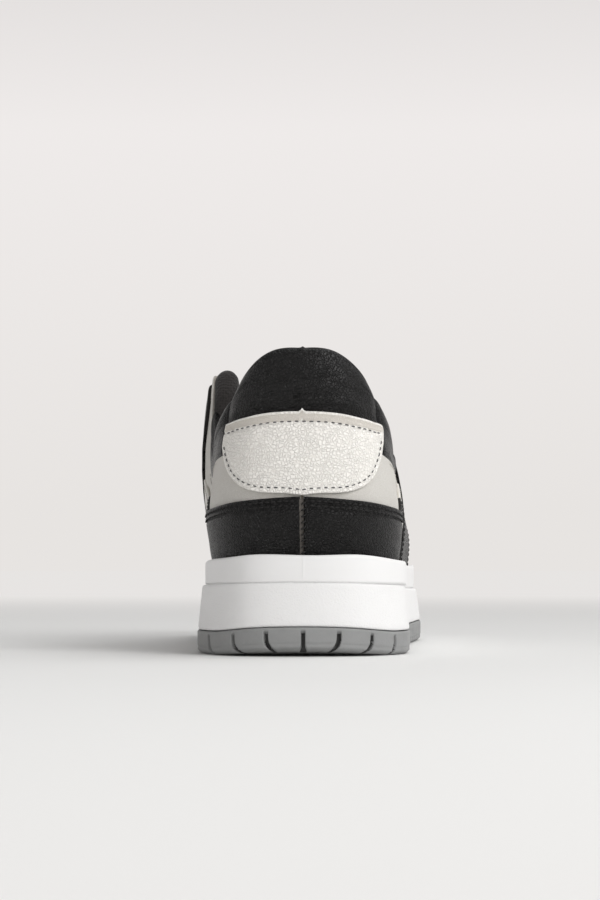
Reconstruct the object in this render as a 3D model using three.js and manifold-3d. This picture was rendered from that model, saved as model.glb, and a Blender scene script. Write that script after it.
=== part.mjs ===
// Low court sneaker, right foot, as an assembly of its cut and moulded pieces.
// Millimetres. +Y runs from heel to toe, +X is the lateral side, +Z is up.
// Every piece of the upper is a patch of one closed ring surface, the last surface,
// which runs from the strobel edge (w = 0) up to the mouth of the shoe (w = 4).
// t runs once round the shoe: 0 heel centre, 5 lateral throat top, 10 toe, 15 medial throat top.
import * as THREE from 'three';
import Module from 'manifold-3d';
import * as BufferGeometryUtils from 'three/addons/utils/BufferGeometryUtils.js';

const wasm = await Module();
wasm.setup();

// ---------- driving dimensions ----------
const LEATHER = 1.15;            // thickness of a leather panel
const GAP = 0.35;                // clearance between stitched layers
const OUTSOLE_TOP = 8.5;         // outsole thickness at the edge
const CUP_FLOOR = 11.5;          // top of the cupsole floor
const TOE_SPRING = 8;            // lift of the sole at the toe tip
const TOE_SPRING_START = 190;    // y where the toe spring begins
const HEEL_BEVEL = 2.2;          // lift of the sole at the back of the heel
const HEEL_BEVEL_END = 22;       // y where the heel bevel ends
const SOLE_LENGTH = 282;
const CUP_INNER_INSET = 4.6;     // inner face of the cup wall, in from the ground outline
const LAST_INSET = 6.9;          // last surface at the rim, in from the ground outline
const COLLAR_FOAM = 6.5;         // thickness of the collar foam
const LACE_WIDTH = 6.5;
const LACE_THICK = 1.5;

// ground outline of the sole, one point per unit of t
const OUTLINE = [
  [0, 0], [24, 6], [39, 28], [41.2, 62], [42, 98], [45.2, 134], [49.3, 168], [52.3, 202], [47.5, 238], [30, 267.5],
  [-1, 282], [-28, 272], [-41.5, 243], [-44.5, 208], [-43, 175], [-39.5, 142], [-38, 108], [-39, 72], [-38.5, 34], [-24.5, 6.5],
];
// height of the strobel edge, rim of the cup, ledge between the two bands
const Z_STROBEL = [22.5, 22.5, 22.5, 22, 21, 20, 18.5, 17.5, 18.8, 22, 24.5, 22, 18.8, 17.5, 18.5, 20, 21, 22, 22.5, 22.5];
const Z_RIM = [36.6, 35.8, 34.3, 33.8, 33.4, 33, 32.6, 32.4, 32.6, 33.6, 34.6, 33.6, 32.6, 32.4, 32.6, 33, 33.4, 33.8, 34.3, 35.8];
const Z_LEDGE = [25.7, 25.4, 25.1, 24.6, 24, 23.4, 22.9, 22.6, 22.9, 24.2, 25.6, 24.2, 22.9, 22.6, 22.9, 23.4, 24, 24.6, 25.1, 25.4];
// three upper levels of the last surface
const LEVEL2 = [
  [0, 3, 56], [22, 8.5, 55], [35, 28, 54], [37, 62, 50], [38.5, 98, 50], [40.8, 133, 53], [43, 165, 50], [44.6, 199, 48.5],
  [40.5, 232, 48.5], [26, 258, 49.5], [-1, 270, 50.5], [-24, 260, 49.5], [-35, 235, 49.5], [-38, 203, 51], [-38.5, 170, 53],
  [-38.5, 138, 55], [-36, 106, 52], [-34.8, 70, 51], [-34, 32, 54], [-22, 8.5, 55],
];
const LEVEL3 = [
  [0, 5, 86], [20, 10.5, 84], [32, 28, 76], [36, 61, 66], [37, 96, 66], [35.5, 126, 78], [36.5, 155, 72.5], [34, 188, 68],
  [27.5, 218, 64], [16.5, 240, 62], [-2.5, 249, 62.5], [-19, 241, 62.5], [-28.5, 220, 65.5], [-33.5, 190, 71], [-36, 158, 76],
  [-39, 128, 80], [-36.5, 100, 69], [-34.2, 67, 67], [-31.3, 30, 76], [-20, 10.5, 84],
];
const MOUTH = [
  [0, 5.5, 112.3], [15.5, 10, 107.8], [27, 26, 95], [32.5, 58, 80.5], [33, 90, 79.5], [23, 117, 106], [16, 139, 94.5],
  [11.5, 160, 85.5], [7.5, 180, 78.5], [2, 195, 74], [-6.5, 200, 73], [-15, 195, 74], [-20, 180, 79.5], [-24, 160, 86.5],
  [-29.5, 139, 96], [-35.5, 117, 110.3], [-34.5, 93, 81], [-33, 61, 80.5], [-27, 28, 93.5], [-15.5, 10, 107.8],
];
const N = 20;

// ---------- splines ----------
const mod = (a, n) => ((a % n) + n) % n;
const crWeights = (f) => [
  (-f + 2 * f * f - f * f * f) / 2,
  (2 - 5 * f * f + 3 * f * f * f) / 2,
  (f + 4 * f * f - 3 * f * f * f) / 2,
  (-f * f + f * f * f) / 2,
];
function ringSpline(values, t) {
  const i = Math.floor(t), w = crWeights(t - i);
  const pick = (k) => values[mod(i + k, N)];
  if (typeof values[0] === 'number') {
    let s = 0;
    for (let k = 0; k < 4; k++) s += w[k] * pick(k - 1);
    return s;
  }
  const dim = values[0].length, out = new Array(dim).fill(0);
  for (let k = 0; k < 4; k++) for (let c = 0; c < dim; c++) out[c] += w[k] * pick(k - 1)[c];
  return out;
}
function outline(t, inset = 0) {
  const p = ringSpline(OUTLINE, t), a = ringSpline(OUTLINE, t - 0.02), b = ringSpline(OUTLINE, t + 0.02);
  const dx = b[0] - a[0], dy = b[1] - a[1], l = Math.hypot(dx, dy);
  return [p[0] - (dy / l) * inset, p[1] + (dx / l) * inset];
}
function groundLift(y) {
  if (y < HEEL_BEVEL_END) return HEEL_BEVEL * ((HEEL_BEVEL_END - y) / HEEL_BEVEL_END) ** 2;
  if (y > TOE_SPRING_START) return TOE_SPRING * ((y - TOE_SPRING_START) / (SOLE_LENGTH - TOE_SPRING_START)) ** 2;
  return 0;
}
const LEVELS = [[], [], LEVEL2, LEVEL3, MOUTH];
for (let i = 0; i < N; i++) {
  const a = outline(i, LAST_INSET + 0.9), b = outline(i, LAST_INSET);
  LEVELS[0].push([a[0], a[1], Z_STROBEL[i]]);
  LEVELS[1].push([b[0], b[1], Z_RIM[i] + 0.5]);
}
function lastPoint(t, w) {
  const cols = LEVELS.map((level) => ringSpline(level, t));
  const i = Math.min(3, Math.max(0, Math.floor(w))), f = w - i, k = crWeights(f);
  const at = (j) => {
    if (j < 0) return cols[0].map((v, c) => 2 * v - cols[1][c]);
    if (j > 4) return cols[4].map((v, c) => 2 * v - cols[3][c]);
    return cols[j];
  };
  const out = [0, 0, 0];
  for (let m = 0; m < 4; m++) {
    const p = at(i - 1 + m);
    for (let c = 0; c < 3; c++) out[c] += k[m] * p[c];
  }
  return out;
}
function lastNormal(t, w) {
  const e = 0.03, wc = Math.min(3.97, Math.max(0.03, w)), w0 = wc - e, w1 = wc + e;
  const a = lastPoint(t - e, wc), b = lastPoint(t + e, wc), c = lastPoint(t, w0), d = lastPoint(t, w1);
  const u = new THREE.Vector3(b[0] - a[0], b[1] - a[1], b[2] - a[2]);
  const v = new THREE.Vector3(d[0] - c[0], d[1] - c[1], d[2] - c[2]);
  return u.cross(v).normalize();
}
function lastOffset(t, w, d) {
  const p = lastPoint(t, w), n = lastNormal(t, w);
  return [p[0] + n.x * d, p[1] + n.y * d, p[2] + n.z * d];
}

// ---------- closed solids ----------
function closedMesh(positions, index) {
  const g = new THREE.BufferGeometry();
  g.setAttribute('position', new THREE.Float32BufferAttribute(positions, 3));
  g.setIndex(index);
  // turn the faces outwards
  let vol = 0;
  for (let i = 0; i < index.length; i += 3) {
    const [a, b, c] = [index[i] * 3, index[i + 1] * 3, index[i + 2] * 3];
    vol += positions[a] * (positions[b + 1] * positions[c + 2] - positions[b + 2] * positions[c + 1])
      + positions[a + 1] * (positions[b + 2] * positions[c] - positions[b] * positions[c + 2])
      + positions[a + 2] * (positions[b] * positions[c + 1] - positions[b + 1] * positions[c]);
  }
  if (vol < 0) for (let i = 0; i < index.length; i += 3) [index[i + 1], index[i + 2]] = [index[i + 2], index[i + 1]];
  g.setIndex(index);
  return g;
}
// a patch with two faces: inner(i, j) and outer(i, j) on a grid of nu by nv cells
function slab(nu, nv, inner, outer) {
  const pos = [], idx = [], id = (s, i, j) => (s * (nu + 1) + i) * (nv + 1) + j;
  for (const f of [inner, outer]) for (let i = 0; i <= nu; i++) for (let j = 0; j <= nv; j++) pos.push(...f(i, j));
  const quad = (a, b, c, d) => idx.push(a, b, c, a, c, d);
  for (let i = 0; i < nu; i++) for (let j = 0; j < nv; j++) {
    quad(id(0, i, j), id(0, i, j + 1), id(0, i + 1, j + 1), id(0, i + 1, j));
    quad(id(1, i, j), id(1, i + 1, j), id(1, i + 1, j + 1), id(1, i, j + 1));
  }
  for (let i = 0; i < nu; i++) {
    quad(id(0, i, 0), id(0, i + 1, 0), id(1, i + 1, 0), id(1, i, 0));
    quad(id(0, i, nv), id(1, i, nv), id(1, i + 1, nv), id(0, i + 1, nv));
  }
  for (let j = 0; j < nv; j++) {
    quad(id(0, 0, j), id(1, 0, j), id(1, 0, j + 1), id(0, 0, j + 1));
    quad(id(0, nu, j), id(0, nu, j + 1), id(1, nu, j + 1), id(1, nu, j));
  }
  return closedMesh(pos, idx);
}
// manifold solid of a geometry, and back
function solid(g) {
  const c = g.clone();
  c.deleteAttribute('normal');
  c.deleteAttribute('uv');
  const m = BufferGeometryUtils.mergeVertices(c, 1e-5);
  return new wasm.Manifold(new wasm.Mesh({
    numProp: 3, vertProperties: new Float32Array(m.attributes.position.array), triVerts: new Uint32Array(m.index.array),
  }));
}
function geometryOf(manifold) {
  const m = manifold.getMesh(), g = new THREE.BufferGeometry(), p = [];
  for (let i = 0; i < m.vertProperties.length; i += m.numProp) p.push(m.vertProperties[i], m.vertProperties[i + 1], m.vertProperties[i + 2]);
  g.setAttribute('position', new THREE.Float32BufferAttribute(p, 3));
  g.setIndex(Array.from(m.triVerts));
  return g;
}
// grid lines shared by every layer, so that stacked layers have parallel faces; closer where the heel and toe turn
const T_RING = [];
for (let t = 0; t < 20; t += 0.25) {
  const fine = t <= 2.5 || t >= 17.5 || (t >= 8.5 && t <= 11.5);
  if (fine || t % 0.5 === 0) T_RING.push(t);
}
const T_LINES = [...T_RING.map((t) => t - 20), ...T_RING, 20];
const W_LINES = [0.02, 1, 1.5, 2, 2.5, 3, 3.5, 4];
// panel of the upper: t0..t1, between two curves in w, between two offsets from the last surface
function panel(t0, t1, wLow, wHigh, dIn, dOut) {
  const f = (v) => (typeof v === 'function' ? v : () => v);
  const lo = f(wLow), hi = f(wHigh), di = f(dIn), dd = f(dOut);
  const below = T_LINES.filter((t) => t < t0 - 1e-6).pop() ?? T_LINES[0], above = T_LINES.find((t) => t > t1 + 1e-6) ?? 20;
  const ts = T_LINES.filter((t) => t >= below && t <= above);
  // the full layer over the panel's extent
  const layer = slab(ts.length - 1, W_LINES.length - 1,
    (i, j) => lastOffset(ts[i], W_LINES[j], di(ts[i], W_LINES[j])), (i, j) => lastOffset(ts[i], W_LINES[j], dd(ts[i], W_LINES[j])));
  // the outline it is cut to
  const n = Math.max(2, Math.round((t1 - t0) / 0.4)), tall = Math.max(...[0, 0.25, 0.5, 0.75, 1].map((q) => hi(t0 + (t1 - t0) * q) - lo(t0 + (t1 - t0) * q)));
  const nv = tall > 1.6 ? 6 : 3, cut = (d, s) => (i, j) => {
    const t = t0 + ((t1 - t0) * i) / n;
    let a = lo(t), b = hi(t);
    if (a <= 0.021) a = -0.12;
    if (b >= 3.999) b = 4.06;
    const w = a + ((b - a) * j) / nv;
    return lastOffset(t, w, d(t, w) + s);
  };
  return geometryOf(solid(layer).intersect(solid(slab(n, nv, cut(di, -5), cut(dd, 5)))));
}
// inner panel with straight edges that follow the shared grid lines
function liner(t0, t1, w0, w1, dIn, dOut) {
  const f = (v) => (typeof v === 'function' ? v : () => v), di = f(dIn), dd = f(dOut);
  const ts = [t0, ...T_LINES.filter((t) => t > t0 + 0.06 && t < t1 - 0.06), t1];
  const ws = [w0, ...W_LINES.filter((w) => w > w0 + 0.06 && w < w1 - 0.06), w1];
  return slab(ts.length - 1, ws.length - 1, (i, j) => lastOffset(ts[i], ws[j], di(ts[i], ws[j])), (i, j) => lastOffset(ts[i], ws[j], dd(ts[i], ws[j])));
}
// piecewise smooth curve through [t, w] knots
function knots(list) {
  return (t) => {
    if (t <= list[0][0]) return list[0][1];
    for (let i = 1; i < list.length; i++) if (t <= list[i][0]) {
      const f = (t - list[i - 1][0]) / (list[i][0] - list[i - 1][0]), s = f * f * (3 - 2 * f);
      return list[i - 1][1] + (list[i][1] - list[i - 1][1]) * s;
    }
    return list[list.length - 1][1];
  };
}
const mirror = (f) => (t) => f(-t);
// loops of equal count joined into a solid; the first and last loops are closed across the shoe
const RING = T_RING.length;
function loopSolid(loops) {
  const pos = [], idx = [], n = RING, id = (r, j) => r * n + mod(j, n);
  for (const loop of loops) for (const p of loop) pos.push(...p);
  for (let r = 0; r + 1 < loops.length; r++) for (let j = 0; j < n; j++) {
    idx.push(id(r, j), id(r, j + 1), id(r + 1, j + 1), id(r, j), id(r + 1, j + 1), id(r + 1, j));
  }
  const cap = (r, flip) => {
    const tri = (a, b, c) => (flip ? idx.push(a, c, b) : idx.push(a, b, c));
    for (let j = 0; j < n / 2; j++) {
      const a = id(r, j), b = id(r, j + 1), c = id(r, n - j - 1), d = id(r, n - j);
      if (a !== d) tri(a, d, b);
      if (b !== c) tri(b, d, c);
    }
  };
  cap(0, false);
  cap(loops.length - 1, true);
  return closedMesh(pos, idx);
}
// loop at an inset from the ground outline, at a height above the local ground
function loop(inset, z, lift = 1) {
  const out = [];
  for (let j = 0; j < RING; j++) {
    const t = T_RING[j], p = outline(t, inset), h = typeof z === 'function' ? z(t) : z;
    out.push([p[0], p[1], h + lift * groundLift(p[1])]);
  }
  return out;
}

// ---------- assembly ----------
const shoe = new THREE.Group();
shoe.name = 'low_court_sneaker';
const finish = {
  rubber: { color: 0x85847f, roughness: 0.75 },
  sidewall: { color: 0xeeedea, roughness: 0.6 },
  black: { color: 0x1d1c1c, roughness: 0.5 },
  grey: { color: 0xbdb9b3, roughness: 0.6 },
  white: { color: 0xdddcd8, roughness: 0.55 },
  textile: { color: 0x2b2928, roughness: 0.95 },
  foam: { color: 0xd8d2c4, roughness: 1 },
  board: { color: 0xcfc8b8, roughness: 1 },
  lace: { color: 0x222121, roughness: 0.9 },
};
const tongue = new THREE.Group();
tongue.name = 'tongue_group';
shoe.add(tongue);
function add(name, geometry, look, parent = shoe) {
  const f = finish[look];
  const mesh = new THREE.Mesh(geometry, new THREE.MeshStandardMaterial({ color: f.color, roughness: f.roughness, metalness: 0 }));
  mesh.name = name;
  parent.add(mesh);
  return mesh;
}

// --- sole unit ---
add('outsole', loopSolid([loop(3.2, 0), loop(1.0, 0.5), loop(0, 2.4), loop(0.1, OUTSOLE_TOP)]), 'rubber');
const rim = (t) => ringSpline(Z_RIM, t), ledge = (t) => ringSpline(Z_LEDGE, t), strobel = (t) => ringSpline(Z_STROBEL, t);
const fade = (t, z) => z - groundLift(outline(t)[1]);
add('cupsole', loopSolid([
  loop(0.3, OUTSOLE_TOP + GAP), loop(2.0, (t) => fade(t, ledge(t) - 0.7)), loop(2.9, (t) => fade(t, ledge(t))),
  loop(3.0, (t) => fade(t, rim(t) - 1.0)), loop(3.4, (t) => fade(t, rim(t))), loop(4.2, (t) => fade(t, rim(t) - 0.2)),
  loop(CUP_INNER_INSET, (t) => fade(t, rim(t) - 1.6)), loop(CUP_INNER_INSET + 0.6, CUP_FLOOR),
]), 'sidewall');
add('midsole_insert', loopSolid([
  loop(CUP_INNER_INSET + 1.1, CUP_FLOOR + GAP), loop(CUP_INNER_INSET + 1.1, (t) => strobel(t) - 2.4, 0),
]), 'foam');
add('strobel_board', loopSolid([
  loop(LAST_INSET + 2.2, (t) => strobel(t) - 1.7, 0), loop(LAST_INSET + 2.2, (t) => strobel(t) - 0.4, 0),
]), 'board');
const SOCK_INSET = LAST_INSET + 5.2;
add('sockliner', loopSolid([
  loop(SOCK_INSET, (t) => strobel(t) + 0.4, 0), loop(SOCK_INSET, (t) => strobel(t) + 4.6, 0),
  loop(SOCK_INSET + 3.5, (t) => strobel(t) + 4.8, 0),
]), 'textile');

// --- upper, base layer ---
const OUT1 = GAP + LEATHER;               // outer face of the first overlay layer
const quarterTop = knots([[0, 2.78], [1.6, 2.8], [2.6, 2.95], [4.2, 3.0], [5.0, 4], [10, 4]]);
const COLLAR_END = 4.55;
add('quarter_lateral', panel(0.04, 6.2, 0.02, quarterTop, -LEATHER, 0), 'grey');
add('quarter_medial', panel(-6.2, -0.04, 0.02, mirror(quarterTop), -LEATHER, 0), 'grey');
add('vamp', panel(6.23, 13.77, 0.02, 4, -LEATHER, 0), 'white');
const collarLow = (t) => quarterTop(Math.abs(t)) + 0.025;
add('collar_back_panel', panel(-1.75, 1.75, collarLow, 4, -LEATHER, 0), 'black');
add('collar_side_lateral', panel(1.77, COLLAR_END, collarLow, 4, -LEATHER, 0), 'black');
add('collar_side_medial', panel(-COLLAR_END, -1.77, collarLow, 4, -LEATHER, 0), 'black');

// --- upper, overlays ---
const heelTop = knots([[0, 2.08], [1.0, 2.06], [1.8, 2.0], [2.25, 1.98], [2.6, 2.15], [2.85, 2.5], [3.0, 2.45], [3.45, 1.2], [3.6, 0.9]]);
add('heel_overlay_lateral', panel(0.045, 3.6, 0.02, heelTop, GAP, OUT1), 'black');
add('heel_overlay_medial', panel(-3.6, -0.045, 0.02, mirror(heelTop), GAP, OUT1), 'black');
add('back_seam_welt', panel(-0.03, 0.03, 0.9, 2.08, GAP, OUT1), 'black');
const tabLow = knots([[0, 2.12], [0.6, 2.15], [0.9, 2.22], [1.2, 2.4], [1.4, 2.6], [1.6, 2.93], [1.74, 3.18]]);
const tabTop = knots([[0, 3.1], [0.9, 3.12], [1.4, 3.2], [1.74, 3.3]]);
add('heel_tab', panel(-1.74, 1.74, (t) => tabLow(Math.abs(t)), (t) => tabTop(Math.abs(t)), GAP, OUT1), 'white');
const stayLow = knots([[4.35, 3.5], [4.9, 2.7], [5.5, 0.9], [5.7, 0.02], [6.5, 0.02], [6.8, 1.4], [7.4, 2.7], [8.4, 3.05], [9.97, 3.2]]);
const stayTop = knots([[4.35, 3.8], [5.0, 3.84], [5.7, 3.94], [10, 3.96]]);
add('eyestay_lateral', panel(4.35, 9.97, stayLow, stayTop, GAP, OUT1), 'black');
add('eyestay_medial', panel(-9.97, -4.35, mirror(stayLow), mirror(stayTop), GAP, OUT1), 'black');
const toeTop = knots([[6.95, 0.9], [7.6, 1.5], [8.6, 2.0], [10, 2.2]]);
add('toe_overlay', panel(6.95, 13.05, 0.02, (t) => toeTop(t > 10 ? 20 - t : t), GAP, OUT1), 'black');
add('side_panel_lateral', panel(3.45, 4.75, knots([[3.45, 1.5], [4.75, 1.45]]), knots([[3.45, 2.45], [4.75, 2.6]]), GAP, OUT1), 'white');
add('side_panel_medial', panel(-4.75, -3.45, mirror(knots([[3.45, 1.5], [4.75, 1.45]])), mirror(knots([[3.45, 2.45], [4.75, 2.6]])), GAP, OUT1), 'white');

// --- upper, inside ---
const IN1 = -(LEATHER + GAP);
const COUNTER_IN = IN1 - 1.2;
add('heel_counter', liner(-3, 3, 0.02, 2.47, COUNTER_IN, IN1), 'board');
add('toe_puff', liner(8, 12, 0.02, 2.5, IN1 - 0.9, IN1), 'board');
const foamThick = (t, w) => {
  const a = Math.min(1, Math.max(0, (w - 2.35) / 0.6)), b = Math.min(1, (4 - w) / 0.35), c = Math.min(1, Math.max(0, (4.9 - Math.abs(t)) / 1.2));
  return 1.2 + (COLLAR_FOAM - 1.2) * a * (0.35 + 0.65 * Math.max(0, b)) * (0.5 + 0.5 * c);
};
add('collar_foam', liner(-5, 5, 2.5, 4, (t, w) => IN1 - foamThick(t, w), IN1), 'foam');
const liningOut = (t, w) => (w > 2.3 ? IN1 - foamThick(t, w) - GAP : COUNTER_IN - GAP);
add('collar_lining', liner(-5, 5, 0.02, 4, (t, w) => liningOut(t, w) - 0.9, liningOut), 'textile');
const vampIn = IN1 - 0.9 - GAP;
add('vamp_lining', liner(5.02, 14.98, 0.02, 4, vampIn - 0.8, vampIn), 'textile');

// --- tongue ---
const TONGUE_LINE = [[-6.5, 209, 63.5], [-7, 188, 69.5], [-7.5, 167, 78.5], [-8.3, 145.5, 91], [-8.5, 124.5, 104], [-8.5, 114, 116]];
const TONGUE_HALF = [12, 16, 18.5, 19.5, 18, 14];
const TONGUE_ARCH = [1.5, 4.5, 6.5, 8, 7.5, 5];
function openSpline(values, s) {
  const n = values.length, i = Math.min(n - 2, Math.max(0, Math.floor(s))), k = crWeights(s - i);
  const vec = typeof values[0] !== 'number';
  const at = (j) => {
    if (j < 0) return vec ? values[0].map((v, c) => 2 * v - values[1][c]) : 2 * values[0] - values[1];
    if (j > n - 1) return vec ? values[n - 1].map((v, c) => 2 * v - values[n - 2][c]) : 2 * values[n - 1] - values[n - 2];
    return values[j];
  };
  if (!vec) { let o = 0; for (let m = 0; m < 4; m++) o += k[m] * at(i - 1 + m); return o; }
  const o = [0, 0, 0];
  for (let m = 0; m < 4; m++) for (let c = 0; c < 3; c++) o[c] += k[m] * at(i - 1 + m)[c];
  return o;
}
// a: -1..1 across, b: 0..5 from the stitched base to the top
function tonguePoint(a, b, d) {
  const c = openSpline(TONGUE_LINE, b), p = openSpline(TONGUE_LINE, Math.max(0, b - 0.05)), q = openSpline(TONGUE_LINE, Math.min(5, b + 0.05));
  const ty = q[1] - p[1], tz = q[2] - p[2], l = Math.hypot(ty, tz), ny = tz / l, nz = -ty / l;
  const half = openSpline(TONGUE_HALF, b), arch = openSpline(TONGUE_ARCH, b), x = a * half;
  const off = d - arch * a * a;
  return [c[0] + x, c[1] + ny * off, c[2] + nz * off];
}
function tongueSlab(b0, b1, a1, dIn, dOut, nu, nv) {
  const at = (d) => (i, j) => tonguePoint(a1 * (-1 + (2 * i) / nu), b0 + ((b1 - b0) * j) / nv, d);
  return slab(nu, nv, at(dIn), at(dOut));
}
add('tongue_shell', tongueSlab(0, 5, 1, -1.1, 0, 8, 10), 'grey', tongue);
add('tongue_foam', tongueSlab(0.5, 5, 0.93, -5.2, -1.1 - GAP, 8, 9), 'foam', tongue);
add('tongue_lining', tongueSlab(0.5, 5, 1, -6.6, -5.2 - GAP - 0.1, 8, 9), 'textile', tongue);
add('tongue_label', tongueSlab(4.3, 4.8, 0.5, GAP + 0.3, GAP + 1.1, 4, 2), 'black', tongue);

// --- lace: six crossing runs, each held at both ends by an eyelet ---
const LACE_T = [5.25, 5.9, 6.55, 7.2, 7.85, 8.5];
const LACE_RISE = [5, 3.5, 2.5, 2, 2, 2];
LACE_T.forEach((t, k) => {
  const base = OUT1 + GAP + 0.7, wEnd = 3.7;
  const A = new THREE.Vector3(...lastOffset(t, wEnd, base)), B = new THREE.Vector3(...lastOffset(20 - t, wEnd, base));
  const A2 = new THREE.Vector3(...lastOffset(t, 3.98, base + 0.2)), B2 = new THREE.Vector3(...lastOffset(20 - t, 3.98, base + 0.2));
  const mid = A2.clone().add(B2).multiplyScalar(0.5);
  const n = lastNormal(t, 4).add(lastNormal(20 - t, 4)).normalize();
  mid.addScaledVector(n, LACE_RISE[k]);
  const curve = new THREE.CatmullRomCurve3([A, A2, mid, B2, B]);
  const across = B.clone().sub(A).normalize(), along = n.clone().cross(across).normalize();
  const steps = 8, rows = [];
  for (let i = 0; i <= steps; i++) {
    const p = curve.getPoint(i / steps), tan = curve.getTangent(i / steps), up = along.clone().cross(tan).normalize();
    if (up.dot(n) < 0) up.negate();
    rows.push([p, up]);
  }
  const at = (lift) => (i, j) => {
    const [p, up] = rows[i], s = (j / 2 - 0.5) * LACE_WIDTH, crown = j === 1 ? 0 : -0.25;
    const q = p.clone().addScaledVector(along, s).addScaledVector(up, lift + (lift > 0 ? crown : 0));
    return [q.x, q.y, q.z];
  };
  add(`lace_run_${k + 1}`, slab(steps, 2, at(0), at(LACE_THICK)), 'lace');
});

// ---------- origin at the bottom centre of the whole box ----------
shoe.updateMatrixWorld(true);
const box = new THREE.Box3().setFromObject(shoe, true);
shoe.position.set(-(box.min.x + box.max.x) / 2, -(box.min.y + box.max.y) / 2, -box.min.z);
shoe.updateMatrixWorld(true);

export default shoe;
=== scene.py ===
import bpy, math
import numpy as np
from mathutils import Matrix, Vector, kdtree


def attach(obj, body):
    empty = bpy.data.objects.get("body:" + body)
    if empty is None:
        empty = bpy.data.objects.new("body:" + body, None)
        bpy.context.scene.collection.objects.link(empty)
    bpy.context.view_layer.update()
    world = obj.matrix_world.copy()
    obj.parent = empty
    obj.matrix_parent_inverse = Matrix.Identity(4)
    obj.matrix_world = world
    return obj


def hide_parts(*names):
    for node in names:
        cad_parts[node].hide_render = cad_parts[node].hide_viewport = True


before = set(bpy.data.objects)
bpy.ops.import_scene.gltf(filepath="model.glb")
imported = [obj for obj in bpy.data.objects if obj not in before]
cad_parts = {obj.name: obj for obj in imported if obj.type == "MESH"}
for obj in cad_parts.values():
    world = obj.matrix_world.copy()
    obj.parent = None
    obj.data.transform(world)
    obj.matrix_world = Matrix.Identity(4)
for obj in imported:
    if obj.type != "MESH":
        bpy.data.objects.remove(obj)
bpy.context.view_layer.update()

MM = 0.001
SHIFT = np.array([-3.9, -141.0, 0.0])          # design coordinates to the part's frame, mm
rng = np.random.default_rng(7)

# ------------------------------------------------------------------ the last surface (same design as the CAD part)
OUTLINE = np.array([[0, 0], [24, 6], [39, 28], [41.2, 62], [42, 98], [45.2, 134], [49.3, 168], [52.3, 202], [47.5, 238], [30, 267.5],
    [-1, 282], [-28, 272], [-41.5, 243], [-44.5, 208], [-43, 175], [-39.5, 142], [-38, 108], [-39, 72], [-38.5, 34], [-24.5, 6.5]], float)
Z_STROBEL = np.array([22.5, 22.5, 22.5, 22, 21, 20, 18.5, 17.5, 18.8, 22, 24.5, 22, 18.8, 17.5, 18.5, 20, 21, 22, 22.5, 22.5])
Z_RIM = np.array([36.6, 35.8, 34.3, 33.8, 33.4, 33, 32.6, 32.4, 32.6, 33.6, 34.6, 33.6, 32.6, 32.4, 32.6, 33, 33.4, 33.8, 34.3, 35.8])
Z_LEDGE = np.array([25.7, 25.4, 25.1, 24.6, 24, 23.4, 22.9, 22.6, 22.9, 24.2, 25.6, 24.2, 22.9, 22.6, 22.9, 23.4, 24, 24.6, 25.1, 25.4])
LEVEL2 = np.array([[0, 3, 56], [22, 8.5, 55], [35, 28, 54], [37, 62, 50], [38.5, 98, 50], [40.8, 133, 53], [43, 165, 50], [44.6, 199, 48.5],
    [40.5, 232, 48.5], [26, 258, 49.5], [-1, 270, 50.5], [-24, 260, 49.5], [-35, 235, 49.5], [-38, 203, 51], [-38.5, 170, 53],
    [-38.5, 138, 55], [-36, 106, 52], [-34.8, 70, 51], [-34, 32, 54], [-22, 8.5, 55]], float)
LEVEL3 = np.array([[0, 5, 86], [20, 10.5, 84], [32, 28, 76], [36, 61, 66], [37.3, 96, 66], [35.5, 126, 78], [36.5, 155, 72.5], [34, 188, 68],
    [27.5, 218, 64], [16.5, 240, 62], [-2.5, 249, 62.5], [-19, 241, 62.5], [-28.5, 220, 65.5], [-33.5, 190, 71], [-36, 158, 76],
    [-39, 128, 80], [-36.5, 100, 69], [-34.2, 67, 67], [-31.3, 30, 76], [-20, 10.5, 84]], float)
MOUTH = np.array([[0, 5.5, 112.3], [15.5, 10, 107.8], [27, 26, 95], [32.8, 58, 80.5], [35.3, 90, 79.5], [23, 117, 106], [16, 139, 94.5],
    [11.5, 160, 85.5], [7.5, 180, 78.5], [2, 195, 74], [-6.5, 200, 73], [-15, 195, 74], [-20, 180, 79.5], [-24, 160, 86.5],
    [-29.5, 139, 96], [-35.5, 117, 110.3], [-34.5, 93, 81], [-33, 61, 80.5], [-27, 28, 93.5], [-15.5, 10, 107.8]], float)
LEATHER, GAP, LAST_INSET = 1.15, 0.35, 6.9
OUT1 = LEATHER + GAP


def crw(f):
    return np.stack([(-f + 2 * f * f - f ** 3) / 2, (2 - 5 * f * f + 3 * f ** 3) / 2, (f + 4 * f * f - 3 * f ** 3) / 2, (-f * f + f ** 3) / 2], -1)


def ring(values, t):
    t = np.asarray(t, float)
    i = np.floor(t).astype(int)
    w = crw(t - i)
    out = 0
    for k in range(4):
        v = values[(i - 1 + k) % 20]
        out = out + (w[..., k, None] * v if values.ndim == 2 else w[..., k] * v)
    return out


def outline(t, inset=0.0):
    p, a, b = ring(OUTLINE, t), ring(OUTLINE, t - 0.02), ring(OUTLINE, t + 0.02)
    d = b - a
    d = d / np.linalg.norm(d, axis=-1, keepdims=True)
    inset = np.asarray(inset, float)[..., None] if np.ndim(inset) else inset
    return p + np.stack([-d[..., 1], d[..., 0]], -1) * inset


def ground_lift(y):
    y = np.asarray(y, float)
    return np.where(y < 22, 2.2 * (np.clip(22 - y, 0, None) / 22) ** 2, 0) + np.where(y > 190, 8 * (np.clip(y - 190, 0, None) / 92) ** 2, 0)


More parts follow.
